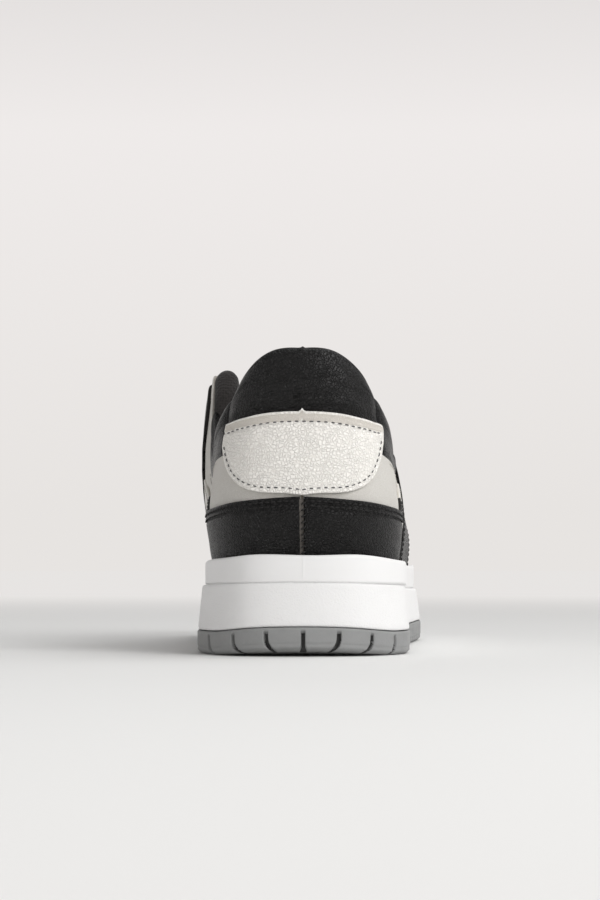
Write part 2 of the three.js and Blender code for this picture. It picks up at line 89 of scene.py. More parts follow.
_t = np.arange(20.0)
L0 = np.concatenate([outline(_t, LAST_INSET + 0.9), Z_STROBEL[:, None]], 1)
L1 = np.concatenate([outline(_t, LAST_INSET - 1.5 * np.exp(-((_t - 2.2) / 0.9) ** 2)), Z_RIM[:, None] + 0.5], 1)
EXT = np.stack([2 * L0 - L1, L0, L1, LEVEL2, LEVEL3, MOUTH, 2 * MOUTH - LEVEL3])       # levels -1..5


def last(t, w):
    t, w = np.broadcast_arrays(np.asarray(t, float), np.asarray(w, float))
    cols = np.stack([ring(EXT[k], t) for k in range(7)])                                 # 7,...,3
    i = np.clip(np.floor(w).astype(int), 0, 3)
    k = crw(w - i)
    out = 0
    for m in range(4):
        idx = (i + m)[None, ..., None]
        out = out + k[..., m, None] * np.take_along_axis(cols, np.broadcast_to(idx, (1,) + t.shape + (3,)), 0)[0]
    return out


def frame_at(t, w):
    """unit normal (outwards), unit tangent along w, both of the last surface"""
    t, w = np.broadcast_arrays(np.asarray(t, float), np.asarray(w, float))
    wc, e = np.clip(w, 0.03, 3.97), 0.03
    u = last(t + e, wc) - last(t - e, wc)
    v = last(t, wc + e) - last(t, wc - e)
    n = np.cross(u, v)
    n /= np.linalg.norm(n, axis=-1, keepdims=True)
    v = v / np.linalg.norm(v, axis=-1, keepdims=True)
    return n, v


def off(t, w, d):
    n, _ = frame_at(t, w)
    return last(t, w) + n * np.asarray(d, float)[..., None]


def knots(pairs):
    ts, vs = np.array([p[0] for p in pairs], float), np.array([p[1] for p in pairs], float)

    def f(t):
        t = np.asarray(t, float)
        i = np.clip(np.searchsorted(ts, t, 'right') - 1, 0, len(ts) - 2)
        q = np.clip((t - ts[i]) / (ts[i + 1] - ts[i]), 0, 1)
        return vs[i] + (vs[i + 1] - vs[i]) * q * q * (3 - 2 * q)
    return f


def pchip(pairs):
    """smooth curve through knots, without flats at each knot"""
    ts, vs = np.array([p[0] for p in pairs], float), np.array([p[1] for p in pairs], float)
    h, s = np.diff(ts), np.diff(vs) / np.diff(ts)
    m = np.zeros(len(ts))
    m[0], m[-1] = s[0], s[-1]
    for i in range(1, len(ts) - 1):
        m[i] = 0 if s[i - 1] * s[i] <= 0 else 2 * s[i - 1] * s[i] / (s[i - 1] + s[i])

    def f(t):
        t = np.clip(np.asarray(t, float), ts[0], ts[-1])
        i = np.clip(np.searchsorted(ts, t, 'right') - 1, 0, len(ts) - 2)
        q = (t - ts[i]) / h[i]
        return ((2 * q ** 3 - 3 * q ** 2 + 1) * vs[i] + (q ** 3 - 2 * q ** 2 + q) * h[i] * m[i]
                + (-2 * q ** 3 + 3 * q ** 2) * vs[i + 1] + (q ** 3 - q ** 2) * h[i] * m[i + 1])
    return f


def smooth(x):
    x = np.clip(x, 0, 1)
    return x * x * (3 - 2 * x)


# ------------------------------------------------------------------ materials
def srgb(r, g, b):
    f = lambda c: ((c / 255) / 12.92) if c / 255 <= 0.04045 else (((c / 255) + 0.055) / 1.055) ** 2.4
    return (f(r), f(g), f(b), 1)


def new_mat(name, color, rough, spec=0.5):
    m = bpy.data.materials.new(name)
    m.use_nodes = True
    nt = m.node_tree
    b = nt.nodes["Principled BSDF"]
    b.inputs["Base Color"].default_value = color
    b.inputs["Roughness"].default_value = rough
    b.inputs["Specular IOR Level"].default_value = spec
    return m, nt, b


def N(nt, kind, **props):
    n = nt.nodes.new(kind)
    for k, v in props.items():
        if k in n.inputs:
            n.inputs[k].default_value = v
        else:
            setattr(n, k, v)
    return n


def two_tone(nt, fac, lo, hi, c0, c1):
    r = N(nt, "ShaderNodeValToRGB")
    r.color_ramp.elements[0].position, r.color_ramp.elements[1].position = lo, hi
    r.color_ramp.elements[0].color, r.color_ramp.elements[1].color = c0, c1
    nt.links.new(fac, r.inputs[0])
    return r.outputs[0]


def leather(name, color, crease_shade, high, scale=700.0, depth=0.00022, rough=(0.42, 0.6), wrinkle=0.5, spec=0.5, fine=0.25):
    """pebbled synthetic leather: cells parted by creases, over a softer random swell"""
    m, nt, b = new_mat(name, color, 0.5, spec)
    L = nt.links.new
    tc = N(nt, "ShaderNodeTexCoord")
    warp = N(nt, "ShaderNodeTexNoise", Scale=scale * 0.32, Detail=3.0, Roughness=0.55)
    L(tc.outputs["Object"], warp.inputs["Vector"])
    mix = N(nt, "ShaderNodeMix", data_type="VECTOR")
    mix.inputs[0].default_value = 0.0009 * 1.0
    add = N(nt, "ShaderNodeVectorMath", operation="MULTIPLY_ADD")
    add.inputs[1].default_value = (0.0022, 0.0022, 0.0022)
    L(warp.outputs["Color"], add.inputs[0])
    L(tc.outputs["Object"], add.inputs[2])
    vor = N(nt, "ShaderNodeTexVoronoi", feature="DISTANCE_TO_EDGE", Scale=scale)
    L(add.outputs[0], vor.inputs["Vector"])
    vor2 = N(nt, "ShaderNodeTexVoronoi", feature="F1", Scale=scale * 1.02)
    L(add.outputs[0], vor2.inputs["Vector"])
    crv = N(nt, "ShaderNodeMapRange", interpolation_type="SMOOTHSTEP")
    crv.inputs[1].default_value, crv.inputs[2].default_value = 0.0, 0.2
    L(vor.outputs["Distance"], crv.inputs[0])
    swell = N(nt, "ShaderNodeTexNoise", Scale=scale * 0.11, Detail=4.0, Roughness=0.6)
    L(tc.outputs["Object"], swell.inputs["Vector"])
    grain = N(nt, "ShaderNodeTexNoise", Scale=scale * 3.1, Detail=3.0, Roughness=0.6)
    L(tc.outputs["Object"], grain.inputs["Vector"])
    h1 = N(nt, "ShaderNodeMath", operation="MULTIPLY_ADD")
    L(swell.outputs[0], h1.inputs[0]); h1.inputs[1].default_value = wrinkle * 1.6
    L(crv.outputs[0], h1.inputs[2])
    h2 = N(nt, "ShaderNodeMath", operation="MULTIPLY_ADD")
    L(grain.outputs[0], h2.inputs[0]); h2.inputs[1].default_value = fine
    L(h1.outputs[0], h2.inputs[2])
    bump = N(nt, "ShaderNodeBump", Strength=1.0, Distance=depth)
    L(h2.outputs[0], bump.inputs["Height"])
    L(bump.outputs[0], b.inputs["Normal"])
    # painted shade: the creases between the pebbles take the darker colour, standing in for the shade that falls in
    # them
    c = two_tone(nt, crv.outputs[0], 0.0, 0.75, crease_shade, color)
    var = N(nt, "ShaderNodeTexNoise", Scale=45.0, Detail=5.0, Roughness=0.62)
    L(tc.outputs["Object"], var.inputs["Vector"])
    mc = N(nt, "ShaderNodeMix", data_type="RGBA", blend_type="MIX")
    vr = N(nt, "ShaderNodeMapRange")
    vr.inputs[1].default_value, vr.inputs[2].default_value, vr.inputs[3].default_value, vr.inputs[4].default_value = 0.35, 0.72, 0.0, 0.55
    L(var.outputs[0], vr.inputs[0]); L(vr.outputs[0], mc.inputs[0])
    L(c, mc.inputs[6]); mc.inputs[7].default_value = high
    L(mc.outputs[2], b.inputs["Base Color"])
    rr = N(nt, "ShaderNodeMapRange")
    rr.inputs[3].default_value, rr.inputs[4].default_value = rough[1], rough[0]
    L(swell.outputs[0], rr.inputs[0]); L(rr.outputs[0], b.inputs["Roughness"])
    return m


def textile(name, c0, c1, pitch=0.0011, depth=0.0003, rough=0.95, sheen=0.25):
    """knitted lining: rows of loops"""
    m, nt, b = new_mat(name, c0, rough, 0.25)
    L = nt.links.new
    tc = N(nt, "ShaderNodeTexCoord")
    warp = N(nt, "ShaderNodeTexNoise", Scale=140.0, Detail=2.0)
    L(tc.outputs["Object"], warp.inputs["Vector"])
    add = N(nt, "ShaderNodeVectorMath", operation="MULTIPLY_ADD")
    add.inputs[1].default_value = (0.0016, 0.0016, 0.0016)
    L(warp.outputs["Color"], add.inputs[0]); L(tc.outputs["Object"], add.inputs[2])
    w1 = N(nt, "ShaderNodeTexVoronoi", feature="F1", Scale=1.0 / pitch, Randomness=0.35)
    L(add.outputs[0], w1.inputs["Vector"])
    fuzz = N(nt, "ShaderNodeTexNoise", Scale=2600.0, Detail=2.0)
    L(tc.outputs["Object"], fuzz.inputs["Vector"])
    h = N(nt, "ShaderNodeMath", operation="MULTIPLY_ADD")
    L(fuzz.outputs[0], h.inputs[0]); h.inputs[1].default_value = 0.35
    inv = N(nt, "ShaderNodeMath", operation="SUBTRACT"); inv.inputs[0].default_value = 1.0
    L(w1.outputs["Distance"], inv.inputs[1]); L(inv.outputs[0], h.inputs[2])
    bump = N(nt, "ShaderNodeBump", Strength=1.0, Distance=depth)
    L(h.outputs[0], bump.inputs["Height"]); L(bump.outputs[0], b.inputs["Normal"])
    L(two_tone(nt, w1.outputs["Distance"], 0.1, 0.75, c1, c0), b.inputs["Base Color"])
    b.inputs["Sheen Weight"].default_value = sheen
    b.inputs["Sheen Roughness"].default_value = 0.5
    return m


def moulded(name, color, dark, rough, scale, depth, spec=0.5, mottled=0.3, detail=3.0):
    """moulded rubber: a fine random skin, with slight mottling"""
    m, nt, b = new_mat(name, color, rough, spec)
    L = nt.links.new
    tc = N(nt, "ShaderNodeTexCoord")
    n1 = N(nt, "ShaderNodeTexNoise", Scale=scale, Detail=detail, Roughness=0.6)
    L(tc.outputs["Object"], n1.inputs["Vector"])
    bump = N(nt, "ShaderNodeBump", Strength=1.0, Distance=depth)
    L(n1.outputs[0], bump.inputs["Height"]); L(bump.outputs[0], b.inputs["Normal"])
    n2 = N(nt, "ShaderNodeTexNoise", Scale=70.0, Detail=6.0, Roughness=0.7)
    L(tc.outputs["Object"], n2.inputs["Vector"])
    mr = N(nt, "ShaderNodeMapRange"); mr.inputs[1].default_value, mr.inputs[2].default_value, mr.inputs[4].default_value = 0.4, 0.8, mottled
    L(n2.outputs[0], mr.inputs[0])
    mc = N(nt, "ShaderNodeMix", data_type="RGBA")
    L(mr.outputs[0], mc.inputs[0]); mc.inputs[6].default_value = color; mc.inputs[7].default_value = dark
    L(mc.outputs[2], b.inputs["Base Color"])
    rr = N(nt, "ShaderNodeMapRange"); rr.inputs[3].default_value, rr.inputs[4].default_value = rough - 0.08, rough + 0.1
    L(n2.outputs[0], rr.inputs[0]); L(rr.outputs[0], b.inputs["Roughness"])
    return m


# the second colour of each leather is painted shade for the creases between the pebbles
BLACK = leather("black_pebbled_leather", srgb(15, 14, 14), srgb(8, 8, 8), srgb(19, 18, 18), scale=900, depth=0.00040, rough=(0.28, 0.42), wrinkle=0.9, spec=0.30)
WHITE = leather("offwhite_pebbled_leather", srgb(243, 241, 236), srgb(232, 229, 223), srgb(238, 235, 230), scale=820, depth=0.00027, rough=(0.5, 0.68), wrinkle=0.9, spec=0.35)
# painted shade: a darker copy of the off-white leather for the strip along the heel tab's top edge, where it bends
# inward
TAB_TOP_SHADE = leather("tab_top_painted_shade_leather", srgb(214, 209, 201), srgb(204, 199, 191), srgb(208, 203, 195), scale=1300, depth=0.00014, rough=(0.55, 0.7), wrinkle=0.8, spec=0.3)
VAMPW = leather("vamp_leather", srgb(224, 222, 218), srgb(206, 203, 198), srgb(216, 213, 208), scale=1300, depth=0.00010, rough=(0.5, 0.66), wrinkle=0.8, spec=0.35)
GREY = leather("light_grey_leather", srgb(208, 206, 201), srgb(196, 193, 187), srgb(201, 198, 192), scale=1600, depth=0.00008, rough=(0.55, 0.72), wrinkle=0.8, spec=0.35)
LINING = textile("dark_knit_lining", srgb(46, 43, 42), srgb(27, 25, 24), sheen=0.18)
EDGE_W = moulded("cut_edge_offwhite", srgb(214, 210, 202), srgb(186, 180, 170), 0.9, 2600, 0.00015, 0.2)
EDGE_B = moulded("cut_edge_black", srgb(40, 38, 37), srgb(78, 74, 70), 0.9, 2600, 0.00015, 0.2)
EDGE_S = moulded("folded_edge_grey", srgb(92, 88, 84), srgb(70, 66, 62), 0.85, 2600, 0.00015, 0.2)
EDGE_G = moulded("cut_edge_grey", srgb(170, 165, 158), srgb(140, 134, 126), 0.9, 2600, 0.00015, 0.2)
CUP_S = moulded("white_rubber_smooth", srgb(229, 229, 229), srgb(222, 222, 221), 0.5, 900, 0.00002, 0.45, 0.25)
CUP_G = moulded("white_rubber_grained", srgb(229, 229, 229), srgb(221, 221, 220), 0.62, 1500, 0.00020, 0.45, 0.3)
# painted shade: a dark grey for the faces deep inside the heel slots, standing in for the shadow in them
SOLE_SLOT_SHADE = moulded("outsole_slot_painted_shade", srgb(72, 72, 72), srgb(60, 60, 60), 0.8, 1500, 0.0001, 0.3)
SOLE = moulded("grey_outsole_rubber", srgb(140, 141, 141), srgb(120, 121, 120), 0.62, 1500, 0.00010, 0.45, 0.55)
FOAM = moulded("foam_pad", srgb(214, 206, 190), srgb(190, 180, 160), 0.95, 1800, 0.0002, 0.1)
BOARD = moulded("fibre_board", srgb(206, 198, 182), srgb(180, 170, 150), 0.95, 1500, 0.0001, 0.1)
THREAD_K = moulded("black_thread", srgb(26, 25, 25), srgb(48, 46, 45), 0.7, 3500, 0.0001, 0.4)
THREAD_G = moulded("grey_thread", srgb(74, 74, 76), srgb(96, 96, 98), 0.75, 3500, 0.0001, 0.4)
THREAD_L = moulded("light_thread", srgb(190, 187, 181), srgb(168, 164, 157), 0.75, 3500, 0.0001, 0.4)


# ------------------------------------------------------------------ mesh helpers
def obj_from(name, verts, faces, mats, face_mat=None, body="shoe", slot=None, nodes=()):
    me = bpy.data.meshes.new(name)
    v = (np.asarray(verts, float) + SHIFT) * MM
    faces = np.asarray(faces, int)
    me.vertices.add(len(v)); me.vertices.foreach_set("co", v.astype(np.float32).ravel())
    k = faces.shape[1]
    me.loops.add(faces.size); me.loops.foreach_set("vertex_index", faces.astype(np.int32).ravel())
    me.polygons.add(len(faces))
    me.polygons.foreach_set("loop_start", np.arange(0, faces.size, k, dtype=np.int32))
    me.polygons.foreach_set("loop_total", np.full(len(faces), k, dtype=np.int32))
    for m in mats:
        me.materials.append(m)
    if face_mat is not None:
        me.polygons.foreach_set("material_index", np.asarray(face_mat, dtype=np.int32))
    me.polygons.foreach_set("use_smooth", np.ones(len(faces), dtype=bool))
    me.update(calc_edges=True)
    me.validate()
    o = bpy.data.objects.new(name, me)
    bpy.context.scene.collection.objects.link(o)
    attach(o, body)
    if nodes:
        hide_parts(*nodes)
    return o


def spaced(total, step, fine=(0, 0.2, 0.5, 0.9, 1.5, 2.4)):
    """positions from 0 to total, close together near both ends"""
    f = [x for x in fine if x < total * 0.3]
    a, b = f[-1], total - f[-1]
    n = max(2, int(round((b - a) / step)) + 1)
    return np.concatenate([f[:-1], np.linspace(a, b, n), total - np.array(f[:-1])[::-1]])


def resample_t(t0, t1, w_mid, step):
    ts = np.linspace(t0, t1, 240)
    p = last(ts, w_mid(ts))
    s = np.concatenate([[0], np.cumsum(np.linalg.norm(np.diff(p, axis=0), axis=1))])
    return np.interp(spaced(s[-1], step), s, ts)


def grid_w(ts, lo, hi, step):
    """w positions for every t, close together near the lower and upper edge"""
    q = np.linspace(0, 1, 41)
    W = lo[:, None] + (hi - lo)[:, None] * q[None]
    P = last(np.repeat(ts[:, None], 41, 1), W)
    S = np.concatenate([np.zeros((len(ts), 1)), np.cumsum(np.linalg.norm(np.diff(P, axis=1), axis=2), 1)], 1)
    H = S[:, -1]
    base = spaced(H.max(), step)
    fine = [x for x in (0, 0.2, 0.5, 0.9, 1.5, 2.4) if x < H.max() * 0.3]
    nf = len(fine) - 1
    out = np.zeros((len(ts), len(base)))
    for i in range(len(ts)):
        k = min(1.0, H[i] / (fine[-1] * 3.4))
        f = np.array(fine) * k
        mid = f[-1] + (H[i] - 2 * f[-1]) * (base[nf:len(base) - nf] - base[nf]) / max(1e-9, base[len(base) - nf - 1] - base[nf])
        pos = np.concatenate([f[:-1], mid, H[i] - f[:-1][::-1]])
        out[i] = np.interp(pos, S[i], W[i])
    return out


def edge_distance(P):
    nu, nv = P.shape[:2]
    b = np.concatenate([P[:, 0], P[:, -1], P[0], P[-1]])
    ext = []
    for line in (P[:, 0], P[:, -1], P[0], P[-1]):
        for f in (0.25, 0.5, 0.75):
            ext.append(line[:-1] * (1 - f) + line[1:] * f)
    b = np.concatenate([b] + ext)
    kd = kdtree.KDTree(len(b))
    for i, p in enumerate(b):
        kd.insert(p, i)
    kd.balance()
    flat = P.reshape(-1, 3)
    return np.array([kd.find(p)[2] for p in flat]).reshape(nu, nv)


def slab_faces(nu, nv):
    """closed slab over a grid of nu x nv points: outer face first, then walls, then inner face"""
    idx = np.arange(nu * nv).reshape(nu, nv)
    a, b, c, d = idx[:-1, :-1].ravel(), idx[1:, :-1].ravel(), idx[1:, 1:].ravel(), idx[:-1, 1:].ravel()
    outer = np.stack([a, b, c, d], 1)
    M = nu * nv
    inner = np.stack([a, d, c, b], 1) + M
    w = []
    def wall(line):
        w.append(np.stack([line[:-1], line[:-1] + M, line[1:] + M, line[1:]], 1))
    wall(idx[:, 0]); wall(idx[-1, :]); wall(idx[::-1, -1]); wall(idx[::-1, 0])
    walls = np.concatenate(w)
    return outer, walls, inner


STITCH = {}


def patch(name, t0, t1, lo, hi, mat, edge_mat, slot, nodes, d_in=-LEATHER, d_out=0.0, step=1.1, round_r=0.75, extra=None, stitch=(), alt=None, body="shoe"):
    """a leather panel: rounded cut edges, drawn down along its seams. stitch: distances of the seams from the edge, mm"""
    f = lambda v: v if callable(v) else (lambda t: np.full(np.shape(t), float(v)))
    lo, hi = f(lo), f(hi)
    ts = resample_t(t0, t1, lambda t: (lo(t) + hi(t)) / 2, step)
    W = grid_w(ts, lo(ts), hi(ts), step)
    T = np.repeat(ts[:, None], W.shape[1], 1)
    P0 = last(T, W)
    e = edge_distance(P0)
    x = np.clip(e / round_r, 0, 1)
    d = d_out - round_r * 0.75 * (1 - np.sqrt(1 - (1 - x) ** 2))
    for s in stitch:
        d = d - 0.22 * np.exp(-((e - s) / 0.75) ** 2)
    if stitch:
        d = d + 0.18 * smooth((e - max(stitch)) / 3.0) * smooth((e.max() - 1) / 6)
    if extra is not None:
        d = d + extra(T, W, e, P0)
    di = np.full_like(d, d_in)
    di = np.minimum(di, d - 0.25)
    n, _ = frame_at(T, W)
    outer_v, inner_v = P0 + n * d[..., None], P0 + n * di[..., None]
    nu, nv = T.shape
    fo, fw, fi = slab_faces(nu, nv)
    verts = np.concatenate([outer_v.reshape(-1, 3), inner_v.reshape(-1, 3)])
    faces = np.concatenate([fo, fw, fi])
    fm = np.concatenate([np.zeros(len(fo)), np.ones(len(fw)), np.ones(len(fi))])
    mats = [mat, edge_mat]
    if alt is not None:
        sel = alt[0](T, W, e).reshape(-1)
        fm[:len(fo)] = np.where(sel[fo].all(1), 2, 0)
        mats.append(alt[1])
    return obj_from(name, verts, faces, mats, fm, body, slot, nodes)


def offset_curve(ts, ws, dist, side):
    """the curve at a distance from a (t, w) curve, along the surface; side +1 is to the left of travel seen from outside"""
    p = last(ts, ws)
    tan = np.gradient(p, axis=0)
    tan /= np.linalg.norm(tan, axis=1, keepdims=True)
    n, _ = frame_at(ts, ws)
    b = np.cross(n, tan) * side
    e = 0.02
    su = (last(ts + e, ws) - last(ts - e, ws)) / (2 * e)
    sw = (last(ts, ws + e) - last(ts, ws - e)) / (2 * e)
    for _ in range(1):
        g11, g12, g22 = (su * su).sum(1), (su * sw).sum(1), (sw * sw).sum(1)
        r1, r2 = (su * b * dist).sum(1), (sw * b * dist).sum(1)
        det = g11 * g22 - g12 ** 2
        dt, dw = (g22 * r1 - g12 * r2) / det, (g11 * r2 - g12 * r1) / det
    return ts + dt, ws + dw


def stitches(name, ts, ws, d, mat, slot, pitch=2.6, length=1.75, radius=0.24, body="shoe", trim=(0.6, 0.6), surface=None, sink=0.35):
    """a row of sewn stitches: each is a length of thread that rises out of the leather and dives back in"""
    surf = surface or (lambda t, w, d: off(t, w, np.full(np.shape(t), d)))
    n_s = 600
    q = np.linspace(0, 1, len(ts))
    qq = np.linspace(0, 1, n_s)
    tt, ww = np.interp(qq, q, ts), np.interp(qq, q, ws)
    P = surf(tt, ww, d)
    s = np.concatenate([[0], np.cumsum(np.linalg.norm(np.diff(P, axis=0), axis=1))])
    total = s[-1] - trim[0] - trim[1]
    if total < pitch:
        return None
    k = max(1, int(round(total / pitch)))
    c = trim[0] + (np.arange(k) + 0.5) * total / k
    rings, sides = 7, 6
    u = np.linspace(-1, 1, rings)
    pos = c[:, None] + u[None] * length / 2 * (1 + 0.05 * rng.standard_normal((k, 1)))
    tq, wq = np.interp(pos, s, tt), np.interp(pos, s, ww)
    ctr = surf(tq.ravel(), wq.ravel(), d).reshape(k, rings, 3)
    nrm = (surf(tq.ravel(), wq.ravel(), d + 1) - surf(tq.ravel(), wq.ravel(), d)).reshape(k, rings, 3)
    nrm /= np.linalg.norm(nrm, axis=-1, keepdims=True)
    tan = np.gradient(ctr, axis=1)
    tan /= np.linalg.norm(tan, axis=-1, keepdims=True) + 1e-12
    bi = np.cross(nrm, tan)
    rise = (radius * (0.75 - (1 + sink) * np.abs(u) ** 3))[None, :, None]
    rad = (radius * np.sqrt(np.clip(1 - 0.82 * u ** 6, 0.05, 1)))[None, :, None, None]
    ang = np.arange(sides) / sides * 2 * math.pi
    ringv = nrm[:, :, None, :] * np.sin(ang)[None, None, :, None] * 0.85 + bi[:, :, None, :] * np.cos(ang)[None, None, :, None]
    V = (ctr + nrm * rise)[:, :, None, :] + ringv * rad
    V = V.reshape(-1, 3)
    F = []
    for r in range(rings - 1):
        for a in range(sides):
            F.append([r * sides + a, r * sides + (a + 1) % sides, (r + 1) * sides + (a + 1) % sides, (r + 1) * sides + a])
    F = np.array(F)
    cap = [[0, 3, 2, 1], [0, 5, 4, 3]]
    cap2 = [[(rings - 1) * sides + i for i in (0, 1, 2, 3)], [(rings - 1) * sides + i for i in (0, 3, 4, 5)]]
    F = np.concatenate([F, cap, cap2])
    faces = (F[None] + (np.arange(k) * rings * sides)[:, None, None]).reshape(-1, 4)
    return obj_from(name, V, faces, [mat], None, body, slot)


# ------------------------------------------------------------------ camera, lights, floor
cam_data = bpy.data.cameras.new("cam")
cam_data.sensor_width, cam_data.sensor_fit, cam_data.lens = 36.0, "AUTO", 100.3
cam = bpy.data.objects.new("cam", cam_data)
bpy.context.scene.collection.objects.link(cam)
cam.location = (-0.00466, -1.051, 0.035)
cam.rotation_euler = (math.radians(90 + 2.51), 0, 0)
cam_data.clip_start, cam_data.clip_end = 0.01, 50
bpy.context.scene.camera = cam


def area(name, loc, target, size, power, color=(1, 1, 1), size_y=None):
    l = bpy.data.lights.new(name, "AREA")
    l.energy, l.size, l.color = power, size, color
    if size_y:
        l.shape, l.size_y = "RECTANGLE", size_y
    o = bpy.data.objects.new(name, l)
    o.location = loc
    o.rotation_euler = (Vector(target) - Vector(loc)).to_track_quat("-Z", "Y").to_euler()
    bpy.context.scene.collection.objects.link(o)
    return o


area("key", (0.92, -1.06, 0.84), (0, -0.08, 0.05), 0.85, 14.4, (1.0, 0.995, 0.99))
area("top", (0.25, 0.25, 1.6), (0, 0, 0.0), 1.2, 4.0)
area("fill", (-1.0, -1.3, 0.6), (0, -0.05, 0.06), 1.3, 1.8, (1.0, 0.985, 0.97))
sun = bpy.data.lights.new("sky_panel", "SUN")
sun.energy, sun.angle = 1.0, math.radians(50)
so = bpy.data.objects.new("sky_panel", sun)
so.rotation_euler = (Vector((0, 0, 0)) - Vector((0.75, 0.35, 1.25))).to_track_quat("-Z", "Y").to_euler()
bpy.context.scene.collection.objects.link(so)
world = bpy.data.worlds.new("studio")
world.use_nodes = True
wn = world.node_tree
bg = wn.nodes["Background"]
bg.inputs[1].default_value = 1.0
wtc = N(wn, "ShaderNodeTexCoord")
wsep = N(wn, "ShaderNodeSeparateXYZ")
wn.links.new(wtc.outputs["Generated"], wsep.inputs[0])
wramp = N(wn, "ShaderNodeValToRGB")                      # pale studio walls, darker ceiling
wramp.color_ramp.elements[0].position, wramp.color_ramp.elements[0].color = 0.02, (0.80, 0.775, 0.755, 1)
wramp.color_ramp.elements[1].position, wramp.color_ramp.elements[1].color = 0.62, (0.14, 0.14, 0.14, 1)
e_ = wramp.color_ramp.elements.new(0.17)
e_.color = (0.86, 0.83, 0.82, 1)
wn.links.new(wsep.outputs[2], wramp.inputs[0])
wn.links.new(wramp.outputs[0], bg.inputs[0])
bpy.context.scene.world = world
bpy.context.scene.view_settings.view_transform = "Standard"

fm, fnt, fb = new_mat("floor_paper", (0.80, 0.80, 0.79, 1), 0.75, 0.25)
fn = N(fnt, "ShaderNodeTexNoise", Scale=900.0, Detail=3.0)
ftc = N(fnt, "ShaderNodeTexCoord")
fnt.links.new(ftc.outputs["Object"], fn.inputs["Vector"])
fbp = N(fnt, "ShaderNodeBump", Strength=0.4, Distance=0.00008)
fnt.links.new(fn.outputs[0], fbp.inputs["Height"]); fnt.links.new(fbp.outputs[0], fb.inputs["Normal"])
fl = N(fnt, "ShaderNodeVectorMath", operation="LENGTH")
fnt.links.new(ftc.outputs["Object"], fl.inputs[0])
fr = N(fnt, "ShaderNodeMapRange", interpolation_type="SMOOTHSTEP")
fr.inputs[1].default_value, fr.inputs[2].default_value = 0.3, 1.5
fnt.links.new(fl.outputs["Value"], fr.inputs[0])
fe = N(fnt, "ShaderNodeEmission")
fe.inputs[0].default_value, fe.inputs[1].default_value = (0.80, 0.78, 0.765, 1), 1.0
fmx = N(fnt, "ShaderNodeMixShader")
fnt.links.new(fr.outputs[0], fmx.inputs[0]); fnt.links.new(fb.outputs[0], fmx.inputs[1]); fnt.links.new(fe.outputs[0], fmx.inputs[2])
fnt.links.new(fmx.outputs[0], fnt.nodes["Material Output"].inputs[0])
bpy.ops.mesh.primitive_circle_add(vertices=128, radius=7.0, fill_type="NGON", location=(0, 0, -0.0001))
floor = bpy.context.object
floor.name = "floor"
floor.data.materials.append(fm)


# ------------------------------------------------------------------ sole unit
def arc_ring(n):
    """n values of t, evenly spaced along the outline, with extra ones round the heel"""
    tt = np.linspace(-10, 10, 4001)
    p = outline(tt)
    ds = np.linalg.norm(np.diff(p, axis=0), axis=1)
    tm = (tt[:-1] + tt[1:]) / 2
    dens = ds * (1 + 2.6 * (np.abs(tm) < 2.6))
    s = np.concatenate([[0], np.cumsum(dens)])
    return np.interp(np.arange(n) / n * s[-1], s, tt)


def ring_faces(nr, nt, flip=False):
    """quads between nr closed rings of nt points"""
    i = np.arange(nr - 1)[:, None] * nt
    j = np.arange(nt)[None]
    k = (j + 1) % nt
    f = np.stack([i + j, i + k, i + nt + k, i + nt + j], -1).reshape(-1, 4)
    return f[:, ::-1] if flip else f


def spine(P, y0=45.0, y1=232.0):
    y = np.clip(P[:, 1], y0, y1)
    tt = np.linspace(0.3, 9.7, 400)
    a, b = outline(tt), outline(-tt)
    lat = np.interp(y, a[:, 1], a[:, 0])
    med = np.interp(y, b[:, 1], b[:, 0])
    return np.stack([(lat + med) / 2, y], -1)


def sm_groove(x, half, edge):
    """1 inside |x| < half, falling to 0 over edge"""
    return 1 - smooth((np.abs(x) - half) / edge + 0.5)


def rubber_body(name, rings, caps, mats, slot, nodes, mat_fn=None):
    """rings: list of (n,3), joined by quads, ends left open; caps: not used"""
    n = len(rings[0])
    V = np.concatenate(rings)
    F = [ring_faces(len(rings), n)]
    faces = np.concatenate(F)
    return V, faces


TR = arc_ring(1500)
P_OUT = outline(TR)
XL = P_OUT[:, 0]
SIPES = [(-34.6, 0.4, 1.0), (-25.4, 0.55, 2.0), (-13.3, 0.72, 2.3), (0.3, 0.72, 0.0), (13.5, 0.72, -2.3), (25.7, 0.55, -2.0), (34.4, 0.4, -1.0)]


def sipe_depth(x, z, t):
    """moulded slots in the heel edge of the outsole; their lower ends hook towards the middle"""
    q = np.clip((7.0 - z) / 7.0, 0, 1)
    d = 0
    for x0, half, hook in SIPES:
        xc = x0 + hook * q ** 4 * 1.3
        hw = half * (1.0 + (0.9 * smooth((q - 0.7) / 0.3) if hook == 0 else 0.15 * q))
        d = np.maximum(d, sm_groove(x - xc, hw, 0.35) * smooth((7.3 - z) / 0.7))
    return d * (np.abs(t) < 2.8)


# arc length along the whole edge for the side slots forward of the heel
ds_ = np.linalg.norm(np.roll(P_OUT, -1, 0) - P_OUT, axis=1)
S_OUT = np.concatenate([[0], np.cumsum(ds_)[:-1]])


def side_depth(t, s, z):
    ph = (s / 11.0) % 1.0
    g = sm_groove((ph - 0.5) * 11.0, 0.65, 0.8) * smooth((6.6 - z) / 0.9)
    return 0.8 * g * (np.abs(t) >= 2.9)


